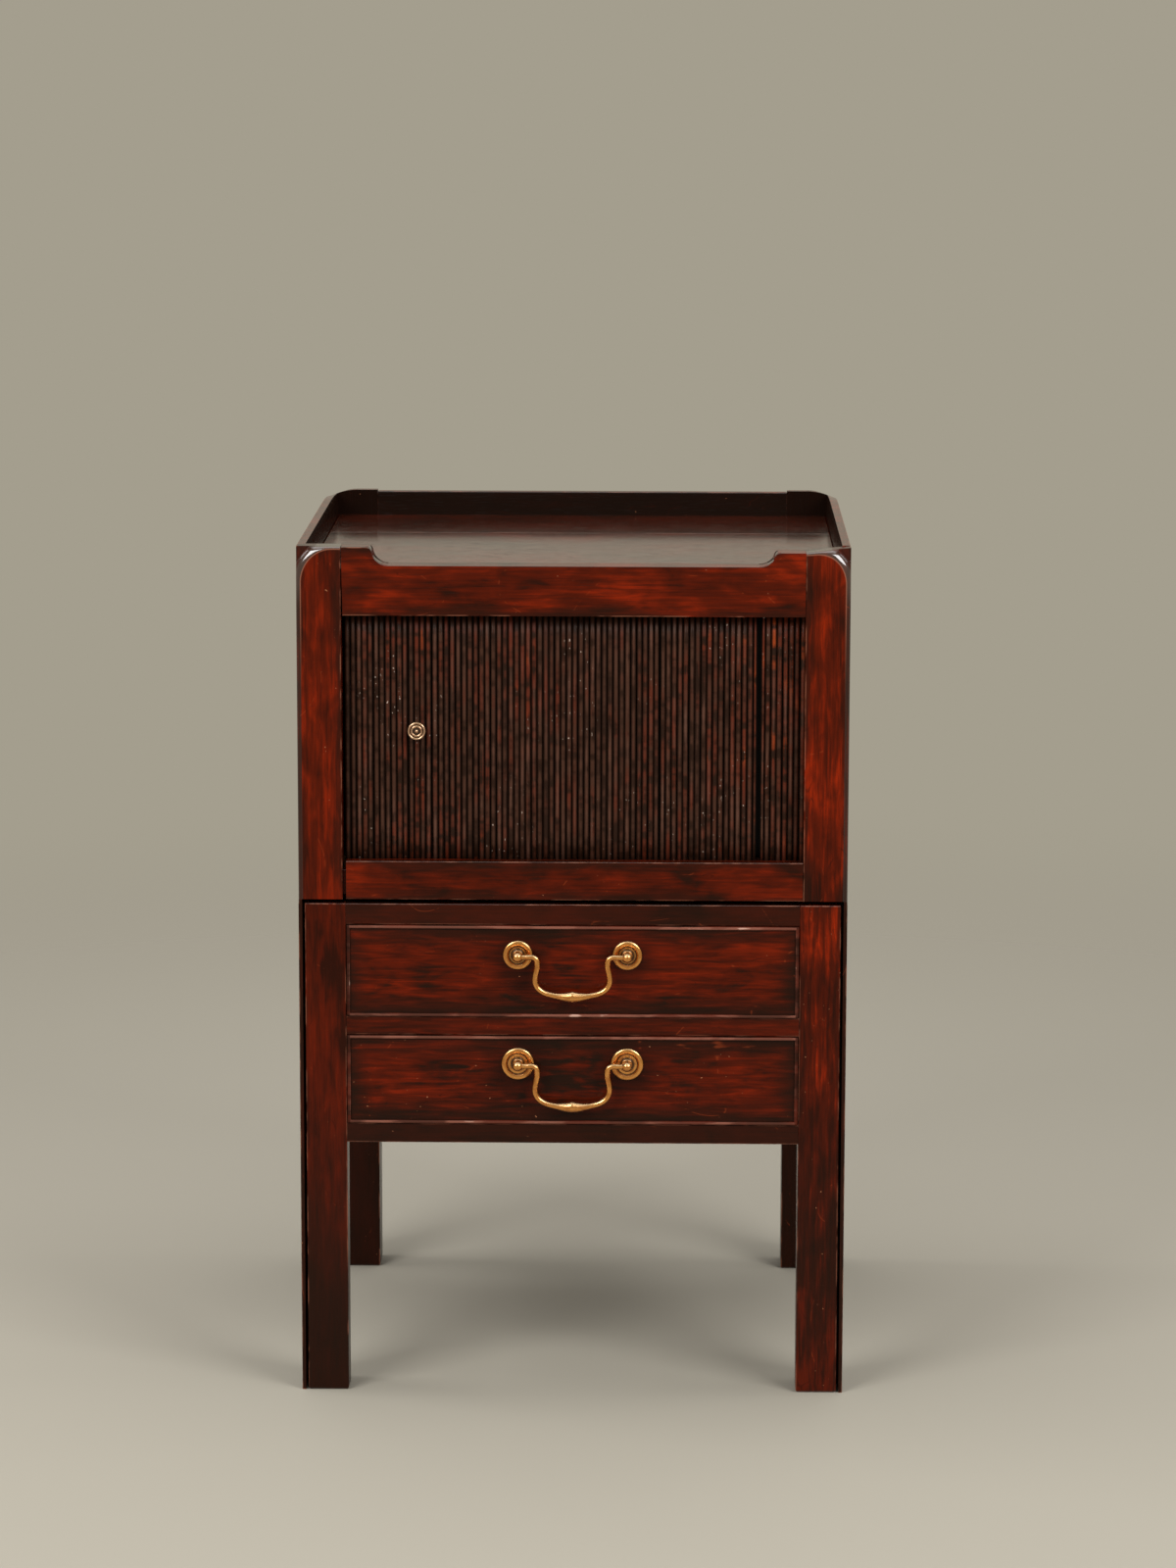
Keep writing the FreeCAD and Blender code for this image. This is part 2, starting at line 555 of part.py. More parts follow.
def pull_out():
    """The frame, box and seat of the base."""
    rails = {
        "pull_out_top_rail": pull_rail(PULL_TOP_RAIL_Z, PULL_TOP),
        "pull_out_mid_rail": pull_rail(PULL_MID_Z, UPPER_FRONT_Z),
        "pull_out_bottom_rail": pull_rail(LEG_CLEAR, LOWER_FRONT_Z),
    }
    pieces.update(rails)
    leg = box(MOVING_LEG_IN_X, MOVING_LEG_OUT_X, 0, MOVING_LEG_D, 0, PULL_TOP)
    leg = less(chamfered_foot(leg), *rails.values())
    both_sides("pull_out_leg", leg)
    false_front("upper", UPPER_FRONT_Z, UPPER_FRONT_H)
    false_front("lower", LOWER_FRONT_Z, LOWER_FRONT_H)

    both_sides("pull_out_side", box(BOX_IN_X, BOX_OUT_X, MOVING_LEG_D, BOX_BACK_T, BOX_Z, SEAT_UNDER))
    back_t0 = BOX_BACK_T - BOX_SIDE_T
    pieces["pull_out_back"] = box(-BOX_IN_X, BOX_IN_X, back_t0, BOX_BACK_T, BOX_Z, SEAT_UNDER)
    seat = box(-BOX_OUT_X, BOX_OUT_X, PULL_RAIL_T, BOX_BACK_T, SEAT_UNDER, SEAT_TOP)
    hole = upright(PAN_D / 2 + PAN_CLEAR, 0, SEAT_HOLE_T, SEAT_UNDER, SEAT_TOP)
    rim_seat = upright(PAN_D / 2 + PAN_RIM_W + PAN_CLEAR, 0, SEAT_HOLE_T, SEAT_TOP - PAN_RIM_T, SEAT_TOP)
    legs = (pieces["pull_out_leg_left"], pieces["pull_out_leg_right"])
    pieces["seat_board"] = less(seat, hole, rim_seat, *legs)

    catch_t0 = BOX_BACK_T - CATCH_D
    half = CATCH_W / 2
    catches = [box(x - half, x + half, catch_t0, BOX_BACK_T, SEAT_TOP, SEAT_TOP + CATCH_H)
               for x in (-CATCH_X, CATCH_X)]
    pieces["out_stop_catches"] = Part.makeCompound(catches)
    block_x = BOX_IN_X - GLUE_BLOCK
    block_t = MOVING_LEG_D + GLUE_BLOCK
    corner = [(BOX_IN_X, MOVING_LEG_D), (BOX_IN_X, block_t), (block_x, MOVING_LEG_D)]
    points = [V(x, FRONT_Y + t, SEAT_UNDER - GLUE_BLOCK_L) for x, t in corner]
    right = extruded(lines(points), V(0, 0, GLUE_BLOCK_L))
    pieces["seat_glue_blocks"] = Part.makeCompound([right, mirrored(right)])


def pan():
    """The glazed pan that hangs by its rim in the seat."""
    rim_top = SEAT_TOP
    rim_under = rim_top - PAN_RIM_T
    throat = PAN_D / 2
    foot = PAN_FOOT_D / 2
    base = rim_top - PAN_DEPTH

    def at(radius, z):
        return V(radius, 0, z)

    def side(inset, z0, z1):
        wide = throat - inset
        narrow = foot - inset
        out, up = PAN_BULGE
        bulge = at(narrow + out * (wide - narrow), z0 + up * (z1 - z0))
        return Part.Arc(at(wide, z1), bulge, at(narrow, z0)).toShape()

    def line(start, end):
        return Part.LineSegment(start, end).toShape()

    lip = throat + PAN_RIM_W
    shoulder = base + PAN_BELLY_H
    inside = base + PAN_WALL
    edges = [
        line(at(0, base), at(foot, base)),
        side(0, base, shoulder),
        line(at(throat, shoulder), at(throat, rim_under)),
        line(at(throat, rim_under), at(lip, rim_under)),
        line(at(lip, rim_under), at(lip, rim_top)),
        line(at(lip, rim_top), at(throat - PAN_WALL, rim_top)),
        line(at(throat - PAN_WALL, rim_top), at(throat - PAN_WALL, shoulder)),
        side(PAN_WALL, inside, shoulder),
        line(at(foot - PAN_WALL, inside), at(0, inside)),
        line(at(0, inside), at(0, base)),
    ]
    face = Part.Face(Part.Wire(Part.__sortEdges__(edges)))
    bowl = face.revolve(V(0, 0, 0), V(0, 0, 1), 360)
    pieces["pan"] = bowl.translate(V(0, FRONT_Y + SEAT_HOLE_T, 0))


def rose(diameter, x, z):
    """A round plate with a raised rim and a collar for the post."""
    rim = diameter / 2
    hole = POST_SHANK_D / 2 + SHANK_CLEAR
    collar = POST_STEM_D / 2 + ROSE_COLLAR_W
    profile = [(hole, 0)]
    profile += [(rim - inwards * ROSE_RIM_W, out * ROSE_T) for inwards, out in ROSE_RIM_PROFILE]
    profile += [(collar, ROSE_DISH * ROSE_T), (collar, ROSE_SHOULDER * ROSE_COLLAR_T),
                (collar - ROSE_COLLAR_ROUND, ROSE_COLLAR_T), (hole, ROSE_COLLAR_T)]
    return turned(profile, x, 0, z)


def handle_post(x, z):
    """A bolt through the drawer front, with a ball head that is bored for the bail."""
    end = FALSE_FRONT_T + NUT_T + POST_SHANK_D / 2
    shank = across(POST_SHANK_D / 2, x, -ROSE_COLLAR_T, end, z)
    stem = across(POST_STEM_D / 2, x, -PIVOT_OUT, -ROSE_COLLAR_T, z)
    head = Part.makeSphere(POST_HEAD_D / 2, V(x, FRONT_Y - PIVOT_OUT, z))
    bore_r = BAIL_D / 2 + BAIL_PIN_CLEAR
    bore_x = x - POST_HEAD_D / 2 - PAST
    bore = Part.makeCylinder(bore_r, POST_HEAD_D + 2 * PAST, V(bore_x, FRONT_Y - PIVOT_OUT, z), V(1, 0, 0))
    return less(joined(shank, stem, head), bore)


def handle_nut(x, z):
    half = NUT_W / 2
    nut = box(x - half, x + half, FALSE_FRONT_T, FALSE_FRONT_T + NUT_T, z - half, z + half)
    return less(nut, across(POST_SHANK_D / 2, x, 0, DEPTH, z))


def bail(z, drop):
    """A swan-neck bail: in from the posts, down through a reverse curve, swelling at the grip."""
    y = FRONT_Y - PIVOT_OUT
    pin_x = HANDLE_CENTRES / 2 + POST_HEAD_D / 4
    neck_x = HANDLE_CENTRES / 2 - BAIL_NECK_IN
    low_x = neck_x + BAIL_FLARE
    points = [V(-pin_x, y, z), V(-neck_x, y, z), V(-low_x, y, z - drop),
              V(low_x, y, z - drop), V(neck_x, y, z), V(pin_x, y, z)]
    path = rounded_path(points, (BAIL_NECK_R, BAIL_CORNER_R, BAIL_CORNER_R, BAIL_NECK_R))
    circle = Part.Circle(points[0], V(1, 0, 0), BAIL_D / 2).toShape()
    bar = path.makePipe(Part.Face(Part.Wire(circle)))
    half = BAIL_SWELL_L / 2
    low = z - drop
    edge = low + BAIL_SWELL_END_D / 2
    crest = low + BAIL_SWELL_D / 2
    swell = Part.Arc(V(-half, y, edge), V(0, y, crest), V(half, y, edge))
    ends = [V(half, y, edge), V(half, y, low), V(-half, y, low), V(-half, y, edge)]
    sides = [Part.LineSegment(a, b).toShape() for a, b in zip(ends, ends[1:])]
    grip = Part.Face(Part.Wire([swell.toShape()] + sides))
    grip = grip.revolve(V(0, y, low), V(1, 0, 0), 360)
    return joined(bar, grip)


def handles():
    nuts = []
    fronts = (("upper", UPPER_FRONT_Z, UPPER_FRONT_H, UPPER_ROSE_D, UPPER_BAIL_DROP),
              ("lower", LOWER_FRONT_Z, LOWER_FRONT_H, LOWER_ROSE_D, LOWER_BAIL_DROP))
    for name, z0, height, rose_d, drop in fronts:
        z = z0 + height / 2 + HANDLE_RISE
        for side, x in (("left", -HANDLE_CENTRES / 2), ("right", HANDLE_CENTRES / 2)):
            pieces[f"{name}_rose_{side}"] = rose(rose_d, x, z)
            pieces[f"{name}_handle_post_{side}"] = handle_post(x, z)
            nuts.append(handle_nut(x, z))
        pieces[f"{name}_bail"] = bail(z, drop)
    pieces["handle_nuts"] = Part.makeCompound(nuts)


carcass()
slide_way()
pieces["tambour_lead_board"] = lead_board()
curtain()
knob()
pull_out()
pan()
handles()

os.makedirs("parts", exist_ok=True)
for name, shape in pieces.items():
    shape.exportStep(f"parts/{name}.step")
    print(name, len(shape.Solids), "solids", round(shape.Volume), "mm3", "valid", shape.isValid())
travel = BOX_BACK_T - CATCH_D - CLEAT_T1
door_travel = OPENING_X - KNOB_D / 2 - SIDE_CLEAR - KNOB_X
print("base travel", round(travel, 1), "door travel", round(door_travel, 1))
print("front face at Y", round(FRONT_Y, 3))
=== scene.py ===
# %% [markdown]
# # A tray-top night commode
#
# This bedside cupboard of polished mahogany has a tray for a top, a reeded tambour door that slides out of
# sight, and a base that pulls forward behind two false drawer fronts. The joinery is measured already, in
# the packed frame. Here the same pieces get their worn edges, their figure and their polish, and the pieces
# that a joiner or a founder shapes by hand are made again with more care.

# %% Load the measured frame
import json
import math
import random

import bmesh
import bpy
from mathutils import Matrix, Vector


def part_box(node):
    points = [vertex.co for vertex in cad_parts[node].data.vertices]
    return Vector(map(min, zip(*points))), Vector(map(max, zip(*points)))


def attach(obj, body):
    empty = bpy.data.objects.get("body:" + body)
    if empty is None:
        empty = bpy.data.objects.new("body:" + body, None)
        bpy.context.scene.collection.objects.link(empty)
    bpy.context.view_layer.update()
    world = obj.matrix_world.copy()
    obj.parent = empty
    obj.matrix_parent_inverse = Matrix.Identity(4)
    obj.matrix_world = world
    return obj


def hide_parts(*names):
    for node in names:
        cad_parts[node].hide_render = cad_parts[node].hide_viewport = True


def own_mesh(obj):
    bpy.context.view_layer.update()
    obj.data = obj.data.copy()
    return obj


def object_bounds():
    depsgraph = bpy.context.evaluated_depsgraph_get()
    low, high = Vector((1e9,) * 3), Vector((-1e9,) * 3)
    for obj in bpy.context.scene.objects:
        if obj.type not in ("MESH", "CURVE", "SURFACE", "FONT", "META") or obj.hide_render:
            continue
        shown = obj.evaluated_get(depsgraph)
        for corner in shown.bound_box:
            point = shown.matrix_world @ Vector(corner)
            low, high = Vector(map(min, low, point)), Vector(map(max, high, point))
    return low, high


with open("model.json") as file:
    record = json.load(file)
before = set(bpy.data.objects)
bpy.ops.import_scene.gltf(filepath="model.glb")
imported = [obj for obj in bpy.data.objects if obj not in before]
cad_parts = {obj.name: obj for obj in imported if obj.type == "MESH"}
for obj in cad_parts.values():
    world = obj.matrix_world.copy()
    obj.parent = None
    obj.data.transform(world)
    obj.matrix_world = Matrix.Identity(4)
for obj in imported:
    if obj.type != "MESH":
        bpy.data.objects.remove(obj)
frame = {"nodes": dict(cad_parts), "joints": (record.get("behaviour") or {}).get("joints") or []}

nodes = frame["nodes"]
joints = {joint["name"]: joint for joint in frame["joints"]}
cad_low, cad_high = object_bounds()
MM = 0.001
front_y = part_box("case_rail")[0].y
case_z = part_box("case_rail")[0].z
top_z = cad_high.z
outer_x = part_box("side_board_right")[1].x
tray_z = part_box("tray_board")[1].z
opening_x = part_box("front_post_right")[0].x
head_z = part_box("tray_board")[0].z
head_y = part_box("side_board_right")[0].y
print("frame:", len(nodes), "pieces,", len(joints), "joints, front face at y", round(front_y, 4))

# %% [markdown]
# ## The camera
#
# The photograph was taken with a long lens from a little above the tray. The place and the angles below were
# worked out from the corners of the front, the tray and the feet. The lens is given for the long side of the
# picture, so the frame keeps the same crop at any size.

# %% Stand the camera
CAMERA_PLACE = (0.086, -4.617, 1.357)
CAMERA_YAW = math.radians(0.94)
CAMERA_DIP = math.radians(10.03)
CAMERA_ROLL = math.radians(0.11)
FOCAL_PIXELS = 4942
PICTURE_HEIGHT = 1600
SENSOR_MM = 36

camera_data = bpy.data.cameras.new("studio_camera")
camera_data.sensor_width = SENSOR_MM
camera_data.lens = FOCAL_PIXELS * SENSOR_MM / PICTURE_HEIGHT
camera = bpy.data.objects.new("studio_camera", camera_data)
aim = Matrix.Rotation(CAMERA_YAW, 4, "Z") @ Matrix.Rotation(math.pi / 2 - CAMERA_DIP, 4, "X")
camera.matrix_world = Matrix.Translation(CAMERA_PLACE) @ aim @ Matrix.Rotation(CAMERA_ROLL, 4, "Z")
bpy.context.scene.collection.objects.link(camera)
bpy.context.scene.camera = camera
bpy.context.scene.view_settings.view_transform = "Standard"
print("camera: lens", round(camera_data.lens, 1), "mm")

# %% [markdown]
# ## Writing finishes as sums
#
# A finish is a small calculation over the surface: streaks plus clouds, less the wear at an edge. Node trees
# are hard to read as lists of links, so one class wraps a socket and turns Python's operators into Math
# nodes, and another holds a node tree and adds any other node. The rest of the file can then say what a
# finish is made of in a few lines.

# %% Wrap sockets and materials


def plug(socket, value):
    """Link a wrapped socket, or set a plain value."""
    if isinstance(value, Sock):
        socket.id_data.links.new(value.output, socket)
    else:
        socket.default_value = value


class Sock:
    """One output of a node. An expression on such values adds its Math nodes."""

    def __init__(self, output):
        self.output = output

    def maths(self, operation, *values):
        node = self.output.id_data.nodes.new("ShaderNodeMath")
        node.operation = operation
        for socket, value in zip(node.inputs, values):
            plug(socket, value)
        return Sock(node.outputs[0])

    def __add__(self, other):
        return self.maths("ADD", self, other)

    def __radd__(self, other):
        return self.maths("ADD", other, self)

    def __sub__(self, other):
        return self.maths("SUBTRACT", self, other)

    def __rsub__(self, other):
        return self.maths("SUBTRACT", other, self)

    def __mul__(self, other):
        return self.maths("MULTIPLY", self, other)

    def __rmul__(self, other):
        return self.maths("MULTIPLY", other, self)

    def __truediv__(self, other):
        return self.maths("DIVIDE", self, other)

    def __abs__(self):
        return self.maths("ABSOLUTE", self)

    def root(self):
        return self.maths("SQRT", self)

    def sine(self):
        return self.maths("SINE", self)

    def least(self, other):
        return self.maths("MINIMUM", self, other)

    def most(self, other):
        return self.maths("MAXIMUM", self, other)


class Nodes:
    """A node tree, with one method that adds any node."""

    def __init__(self, tree):
        self.tree = tree

    def node(self, kind, settings=None, values=None, out=0):
        node = self.tree.nodes.new("ShaderNode" + kind)
        for key, value in (settings or {}).items():
            setattr(node, key, value)
        for key, value in (values or {}).items():
            plug(node.inputs[key], value)
        if isinstance(out, tuple):
            return [Sock(node.outputs[key]) for key in out]
        return Sock(node.outputs[out])


class Finish(Nodes):
    """A material in the making. The constants are values of its shader's sockets."""

    def __init__(self, name, **constants):
        self.material = bpy.data.materials.new(name)
        self.material.use_nodes = True
        super().__init__(self.material.node_tree)
        self.shader = self.tree.nodes["Principled BSDF"]
        for socket, value in constants.items():
            self.set(socket.replace("_", " "), value)

    def set(self, socket, value):
        plug(self.shader.inputs[socket], value)

    def place(self):
        return self.node("TexCoord", out="Object")

    def normal(self):
        return self.axes(self.node("NewGeometry", out="Normal"))

    def vector(self, operation, first, second):
        return self.node("VectorMath", {"operation": operation}, {0: first, 1: second})

    def axes(self, vector):
        return self.node("SeparateXYZ", None, {0: vector}, ("X", "Y", "Z"))

    def noise(self, vector, scale, detail=2.0, warp=0.0):
        values = {"Vector": vector, "Scale": scale, "Detail": detail, "Distortion": warp}
        return self.node("TexNoise", None, values)

    def ramp(self, value, start, end):
        """0 before start, 1 after end, and a smooth step between."""
        values = {"Value": value, "From Min": start, "From Max": end}
        return self.node("MapRange", {"interpolation_type": "SMOOTHSTEP"}, values)

    def mix(self, factor, first, second):
        return self.node("Mix", {"data_type": "RGBA"}, {0: factor, 6: first, 7: second}, 2)

    def bump(self, height, strength, distance):
        values = {"Height": height, "Strength": strength, "Distance": distance}
        self.set("Normal", self.node("Bump", None, values))


def paint(red, green, blue):
    """A colour as a screen shows it, 0 to 255, turned into Blender's linear values."""
    parts = [value / 255 for value in (red, green, blue)]
    linear = [c / 12.92 if c <= 0.04045 else ((c + 0.055) / 1.055) ** 2.4 for c in parts]
    return (*linear, 1.0)


print("finishes: sockets add up as", [name for name in vars(Sock) if name.startswith("__r")])

# %% [markdown]
# ## The studio
#
# The commode stands on a plain pale floor. The floor fades out into a background of the same colour, so that
# no horizon shows from any side. Two large soft lamps stand high in front, left and right, and a third hangs
# above: they give the polish its soft streaks of light and leave a quiet shadow under the legs. Two weaker
# ones at the sides draw the highlights in the rounded corners.

# %% Lay the floor
PALE_GROUND = paint(176, 170, 156)
GROUND_MOTTLE = paint(162, 156, 142)
FLOOR_RADIUS = 2.9
FLOOR_FADE_FROM = 0.8
FLOOR_SIDES = 96

ground_mesh = bpy.data.meshes.new("studio_floor")
ground_bm = bmesh.new()
bmesh.ops.create_circle(ground_bm, cap_ends=True, segments=FLOOR_SIDES, radius=FLOOR_RADIUS)
ground_bm.to_mesh(ground_mesh)
ground_bm.free()


def stand(name, mesh, material):
    """A new object in the scene, with one material on its mesh."""
    mesh.materials.append(material)
    thing = bpy.data.objects.new(name, mesh)
    bpy.context.scene.collection.objects.link(thing)
    return thing


ground = Finish("pale_ground", Roughness=0.9, Specular_IOR_Level=0.1)
ground_x, ground_y, _ = ground.axes(ground.place())
from_middle = (ground_x * ground_x + ground_y * ground_y).root()
mottle = ground.noise(ground.place(), 3.0, 4.0)
ground.set("Base Color", ground.mix(mottle * 0.1, PALE_GROUND, GROUND_MOTTLE))
ground.set("Alpha", 1 - ground.ramp(from_middle, FLOOR_FADE_FROM, FLOOR_RADIUS))
studio_floor = stand("studio_floor", ground_mesh, ground.material)
print("floor: radius", FLOOR_RADIUS, "m, fades from", FLOOR_FADE_FROM, "m")

# %% Hang the backdrop and the lamps
PALE_WALL = paint(164, 158, 142)
SKY_LIGHT = (1.0, 0.985, 0.96, 1.0)
SKY_STRENGTH = 0.35
world = bpy.data.worlds.new("studio_world")
world.use_nodes = True
bpy.context.scene.world = world
world.node_tree.nodes.clear()
sky = Nodes(world.node_tree)
rays = ("Is Camera Ray", "Is Glossy Ray", "Is Transmission Ray")
seen, mirrored, through = sky.node("LightPath", out=rays)
ambient = sky.node("Background", None, {"Color": SKY_LIGHT, "Strength": SKY_STRENGTH})
backdrop = sky.node("Background", None, {"Color": PALE_WALL, "Strength": 1.0})
shown = seen.most(mirrored).most(through)
both = sky.node("MixShader", None, {0: shown, 1: ambient, 2: backdrop})
sky.node("OutputWorld", None, {"Surface": both}, ())


def soft_lamp(name, place, aim_z, size, watts):
    """A square area lamp that looks at the middle of the commode, aim_z above the floor."""
    data = bpy.data.lights.new(name, "AREA")
    data.shape = "SQUARE"
    data.size = size
    data.energy = watts
    lamp = bpy.data.objects.new(name, data)
    lamp.location = place
    lamp.rotation_euler = (Vector((0, 0, aim_z)) - Vector(place)).to_track_quat("-Z", "Y").to_euler()
    bpy.context.scene.collection.objects.link(lamp)


soft_lamp("lamp_left", (-1.9, -2.5, 2.5), aim_z=0.45, size=1.6, watts=63)
soft_lamp("lamp_right", (2.1, -2.3, 2.4), aim_z=0.45, size=1.6, watts=59)
soft_lamp("lamp_above", (0, 0.4, 2.9), aim_z=0.4, size=2.6, watts=29)
soft_lamp("lamp_side_left", (-2.5, 0.3, 2.4), aim_z=0.6, size=1.0, watts=20)
soft_lamp("lamp_side_right", (2.5, 0.1, 2.4), aim_z=0.6, size=1.0, watts=11)
print("studio:", len(bpy.data.lights), "lamps")

# %% [markdown]
# ## Mahogany
#
# Old mahogany under a polish is orange-red where the light gets into the figure and nearly black where dirt
# and wax have gathered: along the edges and round the handles. Down the legs the colour is painted darker
# towards the floor, for dirt and for painted shade. The figure is feathery, short strokes along the grain
# that come and go in clouds, so noises of several sizes are added, each drawn out along one axis. A board's
# own box gives the distance to its nearest edge, for the dark band beside it and for the pale line where
# hands have rubbed the polish off. The wax lies thickest on the rounded edges. They are where the surface
# leans away from all three axes, and there a clear coat gives a wet shine; their colour is painted darker
# too, as painted shade where they turn away from the lamps. On the posts a rounded band runs up the outside,
# round the corner and along the top, with a pale line at its inner side that is part rubbed polish and part
# painted highlight.

# %% Measure along a board
SEED_SHIFT = (0.37, 0.53, 0.71)
POST_ROUND = 4.6 * MM
TOP_ROUND = 2.2 * MM
CORNER_ROUND = 33.0 * MM
JOINT_SINK = 4.0 * MM


def drawn_out(finish, seed, grain, share):
    """Coordinates that are shifted for each board and drawn out along its grain."""
    shifted = finish.vector("ADD", finish.place(), [seed * shift for shift in SEED_SHIFT])
    scale = [1.0, 1.0, 1.0]
    scale["xyz".index(grain)] = share
    return finish.vector("MULTIPLY", shifted, scale)


def edge_distance(finish, low, high):
    """How far a point of a board lies from the nearest edge of the board's box, in metres."""
    reaches = []
    for value, start, end in zip(finish.axes(finish.place()), low, high):
        reaches.append((end - start) / 2 - abs(value - (start + end) / 2))
    first, second, third = reaches
    nearest = first.least(second).least(third)
    furthest = first.most(second).most(third)
    return first + second + third - nearest - furthest


def rounding(finish):
    """0 on a face that is square to an axis, 1 on a rounded edge or corner."""
    lean_x, lean_y, lean_z = finish.normal()
    return 1 - finish.ramp(abs(lean_x).most(abs(lean_y)).most(abs(lean_z)), 0.84, 0.985)


def past_band(finish):
    """How far a point of a post lies past the inner side of the rounded band, in metres."""
    across, _, height = finish.axes(finish.place())
    sunk = finish.ramp(across, outer_x, opening_x) * finish.ramp(across, 0.0, opening_x) * JOINT_SINK
    inset_x = CORNER_ROUND - POST_ROUND
    inset_z = CORNER_ROUND - TOP_ROUND
    reach_x = (abs(across) - (outer_x - CORNER_ROUND)) / inset_x
    reach_z = (height + sunk - (top_z - CORNER_ROUND)) / inset_z
    corner_x = reach_x.most(0.0)
    corner_z = reach_z.most(0.0)
    corner = (corner_x * corner_x + corner_z * corner_z).root()
    return (corner + reach_x.most(reach_z).least(0.0) - 1) * inset_x


print("posts: band of", POST_ROUND / MM, "mm round a corner of", CORNER_ROUND / MM, "mm")

# %% Mix the mahogany
SHADOW_WOOD = paint(46, 14, 5)
BODY_WOOD = paint(84, 22, 5)
FLAME_WOOD = paint(158, 40, 6)
WAX_GRIME_AND_SHADE = paint(31, 18, 10)
BLACK_GRIME_AND_SHADE = paint(8, 3, 2)
RUBBED_AND_HIGHLIGHT_WOOD = paint(156, 96, 72)
PALE_FLECK = paint(186, 122, 84)
SCRATCHED = paint(168, 72, 34)
FRONT_GLOSS = 0.1
SIDE_GLOSS = 0.15
FULL_GLOSS = 0.65
BAND_COAT = 2.0
TOP_COAT = 1.5
FEATHER_DRAWN = 0.11
FIBRE_DRAWN = 0.03
CLOUDS_PER_METRE = 15
PATCHES_PER_METRE = 48
FEATHERS_PER_METRE = 200
FIBRES_PER_METRE = 520
PORES_PER_METRE = 1700
DIRT_MARGIN = 12 * MM
FOOT_DARK = 100 * MM
LEG_DIRT_AND_SHADE_END = 330 * MM


def post_band(wood, height):
    """Where a post is rounded, how much wax lies there, its pale line and the darker lip below."""
    past = past_band(wood)
    on_case = wood.ramp(height, case_z - 1 * MM, case_z)
    round_edge = wood.ramp(past, 0.0, 0.6 * MM) * on_case
    # The pale line at the band's inner side is part rubbed polish and part a painted highlight of the edge.
    line = 1 - wood.ramp(abs(past - 0.3 * MM), 0.2 * MM, 0.8 * MM)
    line = line * wood.ramp(height, top_z - 150 * MM, top_z - 30 * MM)
    coat = round_edge * (0.3 + 0.7 * wood.ramp(height, top_z - 60 * MM, top_z - 30 * MM))
    coat = coat * (1 - 0.9 * wood.ramp(past, 5 * MM, 7 * MM))
    # The thin lip of the post below the case is painted darker.
    return round_edge, coat, line, (1 - on_case) * 0.85


